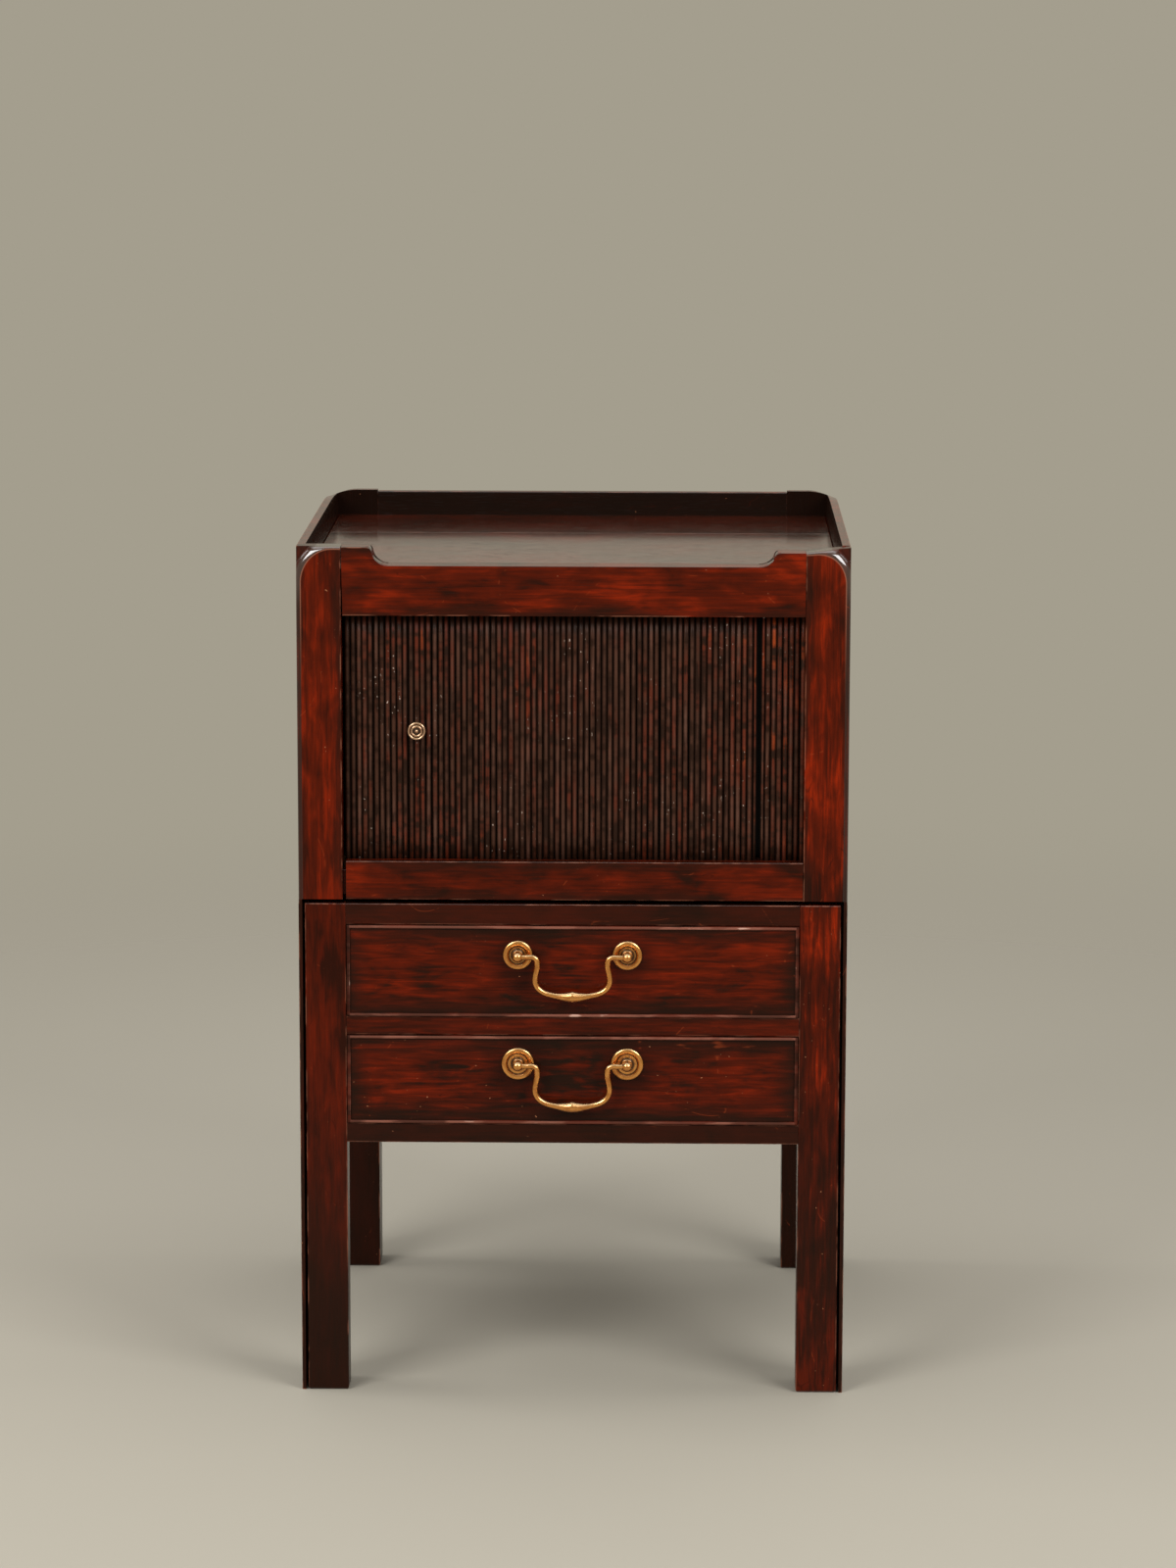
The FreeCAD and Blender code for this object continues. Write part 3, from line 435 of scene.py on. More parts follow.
def mahogany(name, board, grain, seed, flame=1.0, shade=0.0, grime=0.6, polish=0.2, low_shade=0.0,
             gloss=FRONT_GLOSS, grime_and_shade_mask=None, banded=False, streaks=0.0, soot=0.0, margin=DIRT_MARGIN):
    """A polished board. Its flame, shade, grime, streaks and soot are shares; low_shade is for the legs."""
    coat_index = BAND_COAT if banded else TOP_COAT
    wood = Finish(name, Specular_IOR_Level=gloss, Coat_Roughness=0.09, Coat_IOR=coat_index)
    low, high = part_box(board)
    fibres = drawn_out(wood, seed, grain, FIBRE_DRAWN)
    cloud = wood.noise(drawn_out(wood, seed, grain, 0.5), CLOUDS_PER_METRE, 4.0, 0.5)
    patch = wood.noise(drawn_out(wood, seed + 1, grain, 0.45), PATCHES_PER_METRE, 4.0, 0.8)
    feather = wood.noise(drawn_out(wood, seed, grain, FEATHER_DRAWN), FEATHERS_PER_METRE, 4.0, 0.7)
    fibre = wood.noise(fibres, FIBRES_PER_METRE, 3.0)
    pore = wood.ramp(wood.noise(fibres, PORES_PER_METRE, 1.0), 0.6, 0.74)
    edge = edge_distance(wood, low, high)
    height = wood.axes(wood.place())[2]
    wear = wood.noise(drawn_out(wood, seed + 3, grain, 0.25), 150, 3.0)
    rub_and_highlight = (1 - wood.ramp(edge, 0.2 * MM, 1.4 * MM)) * wood.ramp(wear, 0.45, 0.6)
    if banded:
        round_edge, coat, line, lip_darkening = post_band(wood, height)
        rub_and_highlight = rub_and_highlight.most(line)
    else:
        round_edge = rounding(wood)
        lip_darkening = 0.0
        coat = round_edge

    clouds = cloud * (0.38 - 0.14 * streaks) + patch * (0.27 - 0.09 * streaks)
    tone = clouds + feather * (0.22 + 0.2 * streaks) + fibre * (0.13 + 0.03 * streaks)
    colour = wood.mix(wood.ramp(tone, 0.38, 0.53), SHADOW_WOOD, BODY_WOOD)
    colour = wood.mix(wood.ramp(tone, 0.49, 0.66) * flame, colour, FLAME_WOOD)
    colour = wood.mix(pore * 0.45, colour, SHADOW_WOOD)

    ragged = edge + (cloud - 0.5) * (30 * MM) + (feather - 0.5) * (12 * MM)
    dirt_and_shade = (1 - wood.ramp(ragged, 0.0, margin)) * grime
    sooty = 0.4 * cloud + 0.4 * patch + 0.2 * feather - soot * 0.1
    dirt_and_shade = dirt_and_shade.most(wood.ramp(sooty, 0.46, 0.36) * grime).most(shade)
    # Rounded edges and corner facets are painted darker: painted shade where they turn away from the lamps,
    # with wax.
    dirt_and_shade = dirt_and_shade.most(round_edge * 0.75).most(lip_darkening)
    # Down the legs the colour is painted darker towards the floor: dirt, and painted shade where less light
    # reaches.
    if low_shade:
        uneven = height + (cloud - 0.5) * (100 * MM)
        dirt_and_shade = dirt_and_shade.most((1 - wood.ramp(uneven, FOOT_DARK, LEG_DIRT_AND_SHADE_END)) * low_shade)
    strokes = wood.noise(drawn_out(wood, seed + 6, grain, 0.7), 17, 0.0)
    scratch = (1 - wood.ramp(abs(strokes - 0.5), 0.0, 0.004)) * wood.ramp(feather, 0.56, 0.62)
    if grime_and_shade_mask:
        # The mask gives dirt in the tray's seam and round the handles, and painted shade on the gallery's
        # inner sides.
        masked_grime_and_shade = grime_and_shade_mask(wood, cloud)
        colour = wood.mix(dirt_and_shade.most(masked_grime_and_shade), colour, WAX_GRIME_AND_SHADE)
        colour = wood.mix(masked_grime_and_shade * 0.6, colour, BLACK_GRIME_AND_SHADE)
        rub_and_highlight = rub_and_highlight * (1 - masked_grime_and_shade)
        scratch = scratch * (1 - masked_grime_and_shade)
    else:
        colour = wood.mix(dirt_and_shade, colour, WAX_GRIME_AND_SHADE)

    contour = wood.noise(drawn_out(wood, seed + 4, grain, 0.3), 26, 2.0, 2.0)
    hairline = 1 - wood.ramp(abs(contour - 0.5), 0.0, 0.006)
    hairline = hairline * wood.ramp(patch, 0.5, 0.6)
    colour = wood.mix(hairline * 0.55, colour, SHADOW_WOOD)
    colour = wood.mix(scratch * 0.3, colour, SCRATCHED)
    colour = wood.mix(rub_and_highlight * 0.6, colour, RUBBED_AND_HIGHLIGHT_WOOD)
    fleck = wood.ramp(wood.noise(drawn_out(wood, seed + 5, grain, 0.8), 480, 0.0), 0.86, 0.9)
    colour = wood.mix(fleck * wood.ramp(patch, 0.48, 0.56) * 0.7, colour, PALE_FLECK)

    wood.set("Base Color", colour)
    wood.set("Roughness", polish + dirt_and_shade * 0.1 + pore * 0.1 + (cloud - 0.5) * 0.12)
    up = wood.normal()[2]
    wood.set("Coat Weight", (wood.ramp(up, 0.8, 0.97) * 0.5).most(coat))
    wood.bump(fibre * 0.3 - pore * 0.3 - fleck * 0.5 - hairline * 0.4 + cloud * 1.2, 0.3, 0.5 * MM)
    return wood.material


print("mahogany: clouds", round(1 / CLOUDS_PER_METRE / MM), "mm, feathers", 1 / FEATHERS_PER_METRE / MM, "mm")

# %% [markdown]
# ## Boards with worn edges
#
# Two centuries of dusting leave no edge sharp. The frame's boards have square edges, so each visible board is
# copied, its flat triangles are merged back into faces, and its edges are rounded with a Bevel modifier that
# reads a radius from every edge. Modelling each round by hand would give the same shape with far more work.

# %% Ease the edges of a board
JOINT_EASE = 0.35 * MM
HAND_EASE = 0.9 * MM
MOST_EASE = 1.4 * MM
EASE_STEPS = 3
SHARP_ANGLE = math.radians(25)
FLAT_ANGLE = math.radians(0.4)
WELD = 0.005 * MM
NEAR = 0.3 * MM
SQUARE = 0.9999


def near(value, target):
    return abs(value - target) < NEAR


def merge_flat(bm):
    """Weld points that coincide, and merge flat triangles into faces."""
    bmesh.ops.remove_doubles(bm, verts=bm.verts, dist=WELD)
    bmesh.ops.dissolve_degenerate(bm, edges=bm.edges, dist=WELD)
    bmesh.ops.dissolve_limit(bm, angle_limit=FLAT_ANGLE, verts=bm.verts, edges=bm.edges)


def eased(node, body, material, ease, shape=None):
    """A copy of a board with rounded edges. ease gives a radius from an edge's middle and direction."""
    bm = bmesh.new()
    bm.from_mesh(nodes[node].data)
    merge_flat(bm)
    if shape:
        shape(bm)
        bm.normal_update()
    weight = bm.edges.layers.float.new("bevel_weight_edge")
    for edge in bm.edges:
        if edge.is_manifold and edge.is_convex and edge.calc_face_angle() > SHARP_ANGLE:
            start, end = (vert.co for vert in edge.verts)
            edge[weight] = ease((start + end) / 2, (end - start).normalized()) / MOST_EASE
    mesh = bpy.data.meshes.new("worn_" + node)
    bm.to_mesh(mesh)
    bm.free()
    for face in mesh.polygons:
        face.use_smooth = max(abs(lean) for lean in face.normal) < SQUARE
    board = stand("worn_" + node, mesh, material)
    bevel = board.modifiers.new("worn_edges", "BEVEL")
    bevel.width = MOST_EASE
    bevel.segments = EASE_STEPS
    bevel.limit_method = "WEIGHT"
    bevel.use_clamp_overlap = True
    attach(board, body)
    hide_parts(node)


def post_ease(middle, direction):
    """Rubbed along the outside and the top, tight where a rail or a board meets the post."""
    if near(middle.z, head_z):
        return 0.0
    return HAND_EASE if near(abs(middle.x), outer_x) or near(middle.z, top_z) else JOINT_EASE


def rail_ease(middle, direction):
    """The long edges of a rail are rubbed, and its ends are tight."""
    return HAND_EASE if abs(direction.x) > 0.3 else JOINT_EASE


def top_ease(middle, direction):
    """Everything along the gallery's top is rubbed round."""
    return MOST_EASE if middle.z > tray_z and abs(direction.z) < 0.95 else JOINT_EASE


def leg_ease(middle, direction):
    return HAND_EASE


def tight_ease(middle, direction):
    return JOINT_EASE


print("edges: eased by", JOINT_EASE / MM, "to", MOST_EASE / MM, "mm")

# %% [markdown]
# ## The heads of the posts
#
# The outer edges of the posts are far rounder than that. Strips are cut along them and their points are drawn
# back onto an arc. At the tray this round edge turns the corner in a wide arc and widens there to a smooth
# facet, which a bevel can't do. So the head of each post is made anew: a quarter round is carried along the
# arc, as wide at every step as the way to the outside or the top allows, and what is left beyond it stays
# flat and set back.

# %% Round the posts
LIP_ROUND = 1.4 * MM
POST_CUTS = 6
ARC_STEPS = 16
BAND_STEPS = 8
BAND_DEEP = 9.0 * MM
AXIS_X, AXIS_Y, AXIS_Z = (1, 0, 0), (0, 1, 0), (0, 0, 1)


def quarter(step, steps):
    turn = math.pi / 2 * step / steps
    return math.cos(turn), math.sin(turn)


def cut(bm, place, normal, drop_outer=False):
    """Cut all faces along a plane, so that they can bend there."""
    geometry = bm.verts[:] + bm.edges[:] + bm.faces[:]
    bmesh.ops.bisect_plane(bm, geom=geometry, plane_co=place, plane_no=normal, clear_outer=drop_outer)


def hand_of(bm):
    """1 for a board on the right, -1 for one on the left."""
    return math.copysign(1, sum(vert.co.x for vert in bm.verts))


def band_path():
    """Where the band starts on the front and where it would end outside, up the side and along the top."""
    turn_x, turn_z = outer_x - CORNER_ROUND, top_z - CORNER_ROUND
    inset_x, inset_z = CORNER_ROUND - POST_ROUND, CORNER_ROUND - TOP_ROUND
    path = [((outer_x - POST_ROUND, head_z), (outer_x, head_z))]
    for step in range(ARC_STEPS + 1):
        out_x, out_z = quarter(step, ARC_STEPS)
        inner = (turn_x + out_x * inset_x, turn_z + out_z * inset_z)
        reach = CORNER_ROUND / max(out_x, out_z)
        path.append((inner, (turn_x + out_x * reach, turn_z + out_z * reach)))
    path.append(((opening_x, top_z - TOP_ROUND), (opening_x, top_z)))
    return path


def post_head(bm, hand):
    """The head of a post: a block whose outer and top edges are one round band."""
    def point(x, y, z):
        return bm.verts.new((hand * x, y, z))

    rows = []
    for inner, outer in band_path():
        start = Vector(inner)
        way = Vector(outer) - start
        deep = min(way.length, BAND_DEEP)
        row = []
        for step in range(BAND_STEPS + 1):
            rise, reach = quarter(step, BAND_STEPS)
            spot = start + way.normalized() * deep * reach
            row.append(point(spot.x, front_y + deep * (1 - rise), spot.y))
        row.append(point(outer[0], front_y + deep, outer[1]) if way.length > deep else row[-1])
        rows.append(row)
    faces = []
    for first, second in zip(rows, rows[1:]):
        for i in range(BAND_STEPS + 1):
            corners = dict.fromkeys((first[i], first[i + 1], second[i + 1], second[i]))
            if len(corners) > 2:
                faces.append(list(corners))
    low_out = point(outer_x, head_y, head_z)
    high_out = point(outer_x, head_y, top_z)
    high_in = point(opening_x, head_y, top_z)
    low_in = point(opening_x, head_y, head_z)
    low_front = point(opening_x, front_y, head_z)
    corner = 1 + ARC_STEPS // 2
    faces.append([row[0] for row in rows] + [low_front])
    faces.append([row[-1] for row in rows[:corner + 1]] + [high_out, low_out])
    faces.append([row[-1] for row in rows[corner:]] + [high_in, high_out])
    faces.append(rows[-1][:-1] + [high_in, low_in, low_front])
    faces.append(rows[0][:-1] + [low_out, low_in, low_front])
    faces.append([low_out, high_out, high_in, low_in])
    bmesh.ops.recalc_face_normals(bm, faces=[bm.faces.new(face) for face in faces])


def sink_right(bm, low_z):
    """The right front joint has sunk a little: lower its top, and less so towards the outside."""
    for vert in bm.verts:
        if vert.co.x > 0 and vert.co.z > low_z:
            share = min((outer_x - vert.co.x) / (outer_x - opening_x), 1.0)
            vert.co.z -= JOINT_SINK * share * (vert.co.z - low_z) / (top_z - low_z)


def round_post(bm):
    """Round the outer front edge of a post, less on the thin lip below the case, and renew its head."""
    hand = hand_of(bm)
    cut(bm, (0, 0, head_z), AXIS_Z, drop_outer=True)
    cut(bm, (0, 0, case_z), AXIS_Z)
    cut(bm, (0, 0, case_z - POST_ROUND), AXIS_Z)
    for i in range(1, POST_CUTS + 1):
        reach = POST_ROUND * i / POST_CUTS
        cut(bm, (hand * (outer_x - reach), 0, 0), AXIS_X)
        cut(bm, (0, front_y + reach, 0), AXIS_Y)
    for vert in bm.verts:
        radius = POST_ROUND if vert.co.z > case_z - WELD else LIP_ROUND
        spoke = Vector((radius - outer_x + abs(vert.co.x), radius - vert.co.y + front_y))
        if min(spoke) > 0 and spoke.length > radius:
            spoke *= radius / spoke.length
            vert.co.x = hand * (outer_x - radius + spoke.x)
            vert.co.y = front_y + radius - spoke.y
    merge_flat(bm)
    bmesh.ops.holes_fill(bm, edges=[edge for edge in bm.edges if edge.is_boundary])
    post_head(bm, hand)
    sink_right(bm, head_z)


print("post heads:", len(band_path()), "steps round the corner")

# %% [markdown]
# ## Gallery, joints, dirt and painted shade
#
# The gallery has worn thin along its top, and its rear corners are rounded away. Where the rails meet the
# posts, the joints have opened. These are small moves of a board's points. Dirt and painted shade are masks
# instead: painted shade darkens the inner sides of the gallery, dirt lies in the open seam of the tray and
# round the handles, and a function for each place says how much.

# %% Shape the gallery and the joints
GALLERY_TAPER = 2.6 * MM
REAR_ROUND = 28.0 * MM
REAR_DROP = 8.0 * MM
REAR_RUN = 110.0 * MM
REAR_CUTS = 6
JOINT_TOP = 0.3
RIGHT_GAP = 0.4 * MM
TOP_LEFT_GAP = 1.7 * MM
CASE_LEFT_GAP = 3.4 * MM
SCOOP_RISE = 8 * MM


def drop_rear(bm):
    """The rear corners of the gallery are rounded off, and its sides fall away towards them."""
    hand = hand_of(bm)
    for i in range(1, REAR_CUTS + 1):
        cut(bm, (hand * (outer_x - REAR_ROUND * i / REAR_CUTS), 0, 0), AXIS_X)
        cut(bm, (0, cad_high.y - REAR_RUN * i / REAR_CUTS, 0), AXIS_Y)
    for vert in bm.verts:
        across = max(abs(vert.co.x) - outer_x + REAR_ROUND, 0) / REAR_ROUND
        deep = max(vert.co.y - cad_high.y + REAR_RUN, 0) / REAR_RUN
        high = max(vert.co.z - tray_z, 0) / (top_z - tray_z)
        vert.co.z -= REAR_DROP * across ** 2 * deep ** 2 * high


def thin_gallery(bm):
    """The gallery tapers to a thinner top edge on the inside."""
    for vert in bm.verts:
        if near(vert.co.z, top_z) and abs(vert.co.x) < outer_x - GALLERY_TAPER:
            vert.co.x += math.copysign(GALLERY_TAPER, vert.co.x)
    drop_rear(bm)


def part_joint(left, right, scoop_z=top_z):
    """Draw a rail's shoulders back from the posts, where the joints have opened."""
    def shape(bm):
        for vert in bm.verts:
            if near(abs(vert.co.x), opening_x):
                share = JOINT_TOP if near(vert.co.z, top_z) else 1.0
                vert.co.x += (left if vert.co.x < 0 else -right) * share
        sink_right(bm, scoop_z)
    return shape


print("joints: opened by up to", CASE_LEFT_GAP / MM, "mm, rear corners down by", REAR_DROP / MM, "mm")

# %% Say where the dirt and the painted shade lie
SEAM_NARROW, SEAM_WIDE = 0.9 * MM, 1.8 * MM
CRACK_START, CRACK_FULL = 188 * MM, 194 * MM
CRACK_FADE, CRACK_END = 228 * MM, 232 * MM
HANDLE_DIRT_NEAR, HANDLE_DIRT_FAR = 12 * MM, 36 * MM
HANDLE_DIRT_DROP = 4 * MM


def gallery_inside(*sides):
    """Painted shade on the sides of a gallery board that look into the tray."""
    def mask(wood, cloud):
        leans = wood.normal()
        height = wood.axes(wood.place())[2]
        inward = 0.0
        for axis, sign in sides:
            inward = wood.ramp(leans["xyz".index(axis)] * sign, 0.5, 0.9) + inward
        return inward * wood.ramp(height, tray_z - 1 * MM, tray_z) * (0.86 + cloud * 0.16)
    return mask


def seam_crack(wood, cloud):
    """The seam of the tray has opened near its right end."""
    across, deep, _ = wood.axes(wood.place())
    seam_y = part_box("tray_rear_board")[0].y
    beside = 1 - wood.ramp(abs(deep - seam_y), SEAM_NARROW, SEAM_WIDE)
    along = wood.ramp(across, CRACK_START, CRACK_FULL) * (1 - wood.ramp(across, CRACK_FADE, CRACK_END))
    return beside * (0.2 + 0.8 * along)


def round_handle(level):
    """Wax and metal polish have darkened the wood round the roses of a handle."""
    def mask(wood, cloud):
        low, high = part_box(f"{level}_rose_right")
        middle = (low + high) / 2
        across, _, height = wood.axes(wood.place())
        across = abs(across) - middle.x
        height = height - middle.z + HANDLE_DIRT_DROP
        reach = (across * across + height * height).root() + (cloud - 0.5) * (30 * MM)
        return (1 - wood.ramp(reach, HANDLE_DIRT_NEAR, HANDLE_DIRT_FAR)) * 0.55
    return mask


print("dirt: in the gallery, in the seam and up to", HANDLE_DIRT_FAR / MM, "mm from a handle")

# %% [markdown]
# ## The boards, one by one
#
# No two boards of the real piece have the same colour: the right post has kept its red, the left leg is
# nearly black, and the drawer fronts are streaked and sooty. Each row below says which way a board's grain
# runs, which seed draws its figure, how its edges are worn and shaped, and what its finish differs in.

# %% Make the boards
posts = dict(banded=True, streaks=0.3)
sides = dict(grime=0.3, streaks=0.5, gloss=SIDE_GLOSS)
hind_legs = dict(flame=0.2, shade=0.3, low_shade=0.85)
tray = dict(streaks=0.6, polish=0.08, gloss=FULL_GLOSS, grime_and_shade_mask=seam_crack)
fronts = dict(streaks=0.85, grime=0.9)
into_left, into_right, into_back = ("x", 1), ("x", -1), ("y", -1)
top_joint = part_joint(TOP_LEFT_GAP, RIGHT_GAP, tray_z + SCOOP_RISE)
case_joint = part_joint(CASE_LEFT_GAP, RIGHT_GAP)
carcass_boards = {
    "front_post_left": ("z", 1, post_ease, round_post, dict(posts, flame=0.65, low_shade=0.8)),
    "front_post_right": ("z", 2, post_ease, round_post, dict(posts, flame=0.9, low_shade=0.7)),
    "side_board_left": ("z", 3, top_ease, thin_gallery,
                        dict(sides, flame=0.6, grime_and_shade_mask=gallery_inside(into_left))),
    "side_board_right": ("z", 4, top_ease, thin_gallery,
                         dict(sides, flame=0.7, grime_and_shade_mask=gallery_inside(into_right))),
    "rear_leg_left": ("z", 5, leg_ease, drop_rear,
                      dict(hind_legs, grime_and_shade_mask=gallery_inside(into_left, into_back))),
    "rear_leg_right": ("z", 6, leg_ease, drop_rear,
                       dict(hind_legs, grime_and_shade_mask=gallery_inside(into_right, into_back))),
    "back_board": ("x", 17, top_ease, None, dict(flame=0.4, shade=0.2, streaks=0.5, gloss=SIDE_GLOSS,
                                                 grime_and_shade_mask=gallery_inside(into_back))),
    "top_rail": ("x", 8, rail_ease, top_joint, dict(flame=0.65)),
    "case_rail": ("x", 9, rail_ease, case_joint, dict(flame=0.6)),
    "tray_board": ("x", 10, tight_ease, None, dict(tray, flame=0.5, shade=0.25)),
    "tray_rear_board": ("x", 11, tight_ease, None, dict(tray, flame=0.2, shade=0.5)),
}
pull_boards = {
    "pull_out_leg_left": ("z", 20, leg_ease, None, dict(flame=0.35, grime=0.12, low_shade=0.9, streaks=0.3)),
    "pull_out_leg_right": ("z", 21, leg_ease, None, dict(flame=1.4, grime=0.3, low_shade=0.75, streaks=0.4)),
    "pull_out_top_rail": ("x", 22, rail_ease, None, dict(flame=0.3, shade=0.72, soot=0.3)),
    "pull_out_mid_rail": ("x", 23, rail_ease, None, dict(flame=0.4, shade=0.3, streaks=0.5)),
    "pull_out_bottom_rail": ("x", 24, rail_ease, None, dict(flame=0.2, shade=0.8)),
    "upper_drawer_front": ("x", 25, tight_ease, None, dict(fronts, flame=0.45, soot=0.3, margin=28 * MM,
                                                           grime_and_shade_mask=round_handle("upper"))),
    "lower_drawer_front": ("x", 26, tight_ease, None, dict(fronts, flame=0.5, soot=0.35, margin=32 * MM,
                                                           grime_and_shade_mask=round_handle("lower"))),
    "seat_board": ("x", 27, leg_ease, None, dict(flame=0.3, shade=0.3, polish=0.35)),
}
for body, boards in (("carcass", carcass_boards), ("pull_out", pull_boards)):
    for board, (grain, seed, ease, shape, looks) in boards.items():
        wood = mahogany("mahogany_" + board, board, grain, seed, **looks)
        eased(board, body, wood, ease, shape)
print("boards: eased", len(carcass_boards) + len(pull_boards))

# %% [markdown]
# ## The tambour door
#
# A tambour is a row of thin reeds glued to canvas, so that it bends like cloth and slides like a board. Each
# reed was planed by hand: no two are quite as wide, as round or as dark. They are therefore made one by one
# in a loop, from a seeded random number, with a little bow along their length, and each carries its own tone
# in an attribute that stays with it when the door moves. Glue has let go in a few places, and there the gap
# shows black.

# %% Plane the reeds
REED_PITCH = 5.38 * MM
REED_WIDTH = 5.1 * MM
REED_ROUND = 2.7 * MM
REED_STEPS = 10
REED_RINGS = 9
LEAD_GAP = 0.6 * MM
TAIL_REEDS = 3
REED_UNEVEN = 0.25 * MM
REED_SHALLOW = 0.5 * MM
REED_LEAN = 0.15 * MM
REED_BOW = 0.2 * MM
OPEN_GAPS = ((-185.0 * MM, 0.9 * MM), (-152.5 * MM, 0.8 * MM), (79.0 * MM, 0.9 * MM), (171.5 * MM, 3.8 * MM))
lead_low, lead_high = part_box("tambour_lead_board")
curtain_low, curtain_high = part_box("tambour_reeds")
canvas_low, canvas_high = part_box("tambour_canvas")
reed_front = lead_low.y
canvas_y = canvas_low.y
lead_reeds = round((lead_high.x - lead_low.x) / REED_PITCH)
curtain_x = lead_low.x + lead_reeds * REED_PITCH
turn_x = joints["tambour_slide"]["deforming_nodes"][0]["fixed_end_x_m"]
TURN_RADIUS = 18.0 * MM
turn_y = canvas_y + TURN_RADIUS
chance = random.Random(1790)


def new_piece(name, bm, material, body, slot, *replaced):
    """A smooth-shaded piece that rides on a body and stands for the frame's plain one."""
    bmesh.ops.recalc_face_normals(bm, faces=bm.faces)
    mesh = bpy.data.meshes.new(name)
    bm.to_mesh(mesh)
    bm.free()
    mesh.polygons.foreach_set("use_smooth", [True] * len(mesh.polygons))
    piece = stand(name, mesh, material)
    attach(piece, body)
    if replaced:
        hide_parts(*replaced)
    return piece


def along_door(along):
    """Where the canvas is, that far along the curtain, and the angle that it has turned through."""
    straight = turn_x - curtain_x
    angle = max(0.0, along - straight) / TURN_RADIUS
    return Vector((curtain_x + min(along, straight), canvas_y, 0)), angle


def add_reed(bm, tone_layer, place, angle, low_z, high_z):
    """One reed: a rounded strip with a slight bow, standing on the canvas at place."""
    left = -REED_WIDTH / 2 + chance.uniform(0, REED_UNEVEN)
    right = REED_WIDTH / 2 - chance.uniform(0, REED_UNEVEN)
    for gap_x, gap in OPEN_GAPS:
        if 0 <= gap_x - place.x < REED_PITCH:
            right -= gap / 2
        if 0 < place.x - gap_x <= REED_PITCH:
            left += gap / 2
    crest = canvas_y - reed_front - chance.uniform(0, REED_SHALLOW)
    lean = chance.uniform(-REED_LEAN, REED_LEAN)
    bow = chance.uniform(-REED_BOW, REED_BOW)
    tone = chance.random()
    turn = Matrix.Translation((turn_x, turn_y, 0)) @ Matrix.Rotation(angle, 4, "Z")
    turn = turn @ Matrix.Translation((-turn_x, -turn_y, 0))
    middle = (left + right) / 2
    half = (right - left) / 2
    section = [(left, 0.0)]
    for step in range(REED_STEPS + 1):
        swing = math.pi * step / REED_STEPS
        section.append((middle - half * math.cos(swing), crest - REED_ROUND * (1 - math.sin(swing))))
    section.append((right, 0.0))
    rings = []
    for ring in range(REED_RINGS):
        share = ring / (REED_RINGS - 1)
        drift = lean * (2 * share - 1) + bow * math.sin(math.pi * share)
        height = low_z + share * (high_z - low_z)
        points = [Vector((place.x + u + drift, canvas_y - d, height)) for u, d in section]
        rings.append([bm.verts.new(turn @ point) for point in points])
    for lower, upper in zip(rings, rings[1:]):
        for i in range(len(lower)):
            j = (i + 1) % len(lower)
            bm.faces.new((lower[i], lower[j], upper[j], upper[i]))
    bm.faces.new(rings[0])
    bm.faces.new(rings[-1])
    for vert in (vert for ring in rings for vert in ring):
        vert[tone_layer] = tone


print("door:", lead_reeds, "reeds on the lead board, turns the corner at x", round(turn_x, 4))

# %% Darken the reeds
REED_BROWN = paint(70, 43, 31)
REED_RED = paint(96, 40, 24)
REED_ORANGE = paint(150, 62, 24)
REED_DARK = paint(42, 24, 15)
REED_WORN_AND_SHEEN = paint(112, 77, 63)
REED_HOLLOW_SHADE_AND_DIRT = paint(34, 18, 9)
REED_SPECK = paint(206, 184, 168)
REDDER_FROM, REDDER_TO = 80 * MM, 200 * MM


def reeded(name, seed):
    """Dark reeds: painted shade and grime in the hollows, worn crests with a painted highlight, and stretches
    of red that differ from reed to reed.
    """
    wood = Finish(name, Specular_IOR_Level=0.12)
    tone = wood.node("Attribute", {"attribute_name": "reed_tone"}, None, "Fac")
    across, depth, height = wood.axes(wood.place())
    depth = depth - reed_front
    own_line = wood.node("CombineXYZ", None, {0: tone * 9, 1: seed, 2: height})
    stretch = wood.noise(own_line, 22, 3.0)
    segment = wood.noise(own_line, 75, 3.0)
    fibre = wood.noise(drawn_out(wood, seed, "z", 0.05), FIBRES_PER_METRE, 3.0)
    patch = wood.noise(drawn_out(wood, seed, "z", 0.5), 12, 3.0)
    red = stretch * 0.5 + patch * 0.3 + segment * 0.2 + (tone - 0.5) * 0.08
    red = red + wood.ramp(across, REDDER_FROM, REDDER_TO) * 0.05
    colour = wood.mix(wood.ramp(red, 0.46, 0.6), REED_BROWN, REED_RED)
    colour = wood.mix(wood.ramp(red, 0.58, 0.68), colour, REED_ORANGE)
    colour = wood.mix(wood.ramp(segment + fibre * 0.4, 0.62, 0.82), colour, REED_DARK)
    # Crests are painted paler: worn polish, and a painted highlight.
    crest = 1 - wood.ramp(depth, 0.15 * MM, 0.7 * MM)
    worn = wood.noise(drawn_out(wood, seed + 2, "z", 0.12), 160, 4.0)
    colour = wood.mix(crest * wood.ramp(worn, 0.45, 0.7) * 0.5, colour, REED_WORN_AND_SHEEN)
    # The hollows between reeds are painted dark: painted shade, and dirt.
    hollow = wood.ramp(depth, 0.35 * MM, 1.3 * MM)
    colour = wood.mix(hollow * 0.88, colour, REED_HOLLOW_SHADE_AND_DIRT)
    crowd = wood.ramp(wood.noise(drawn_out(wood, seed + 6, "z", 0.5), 17, 2.0), 0.5, 0.62)
    speck = wood.ramp(wood.noise(drawn_out(wood, seed + 4, "z", 0.7), 620, 0.0), 0.8, 0.83) * crowd
    colour = wood.mix(speck * (1 - hollow) * 0.85, colour, REED_SPECK)
    wood.set("Base Color", colour)
    wood.set("Roughness", 0.34 + hollow * 0.3 + (patch - 0.5) * 0.2)
    wood.bump(fibre * 0.5 + worn * 0.4 - speck, 0.4, 0.4 * MM)
    return wood.material


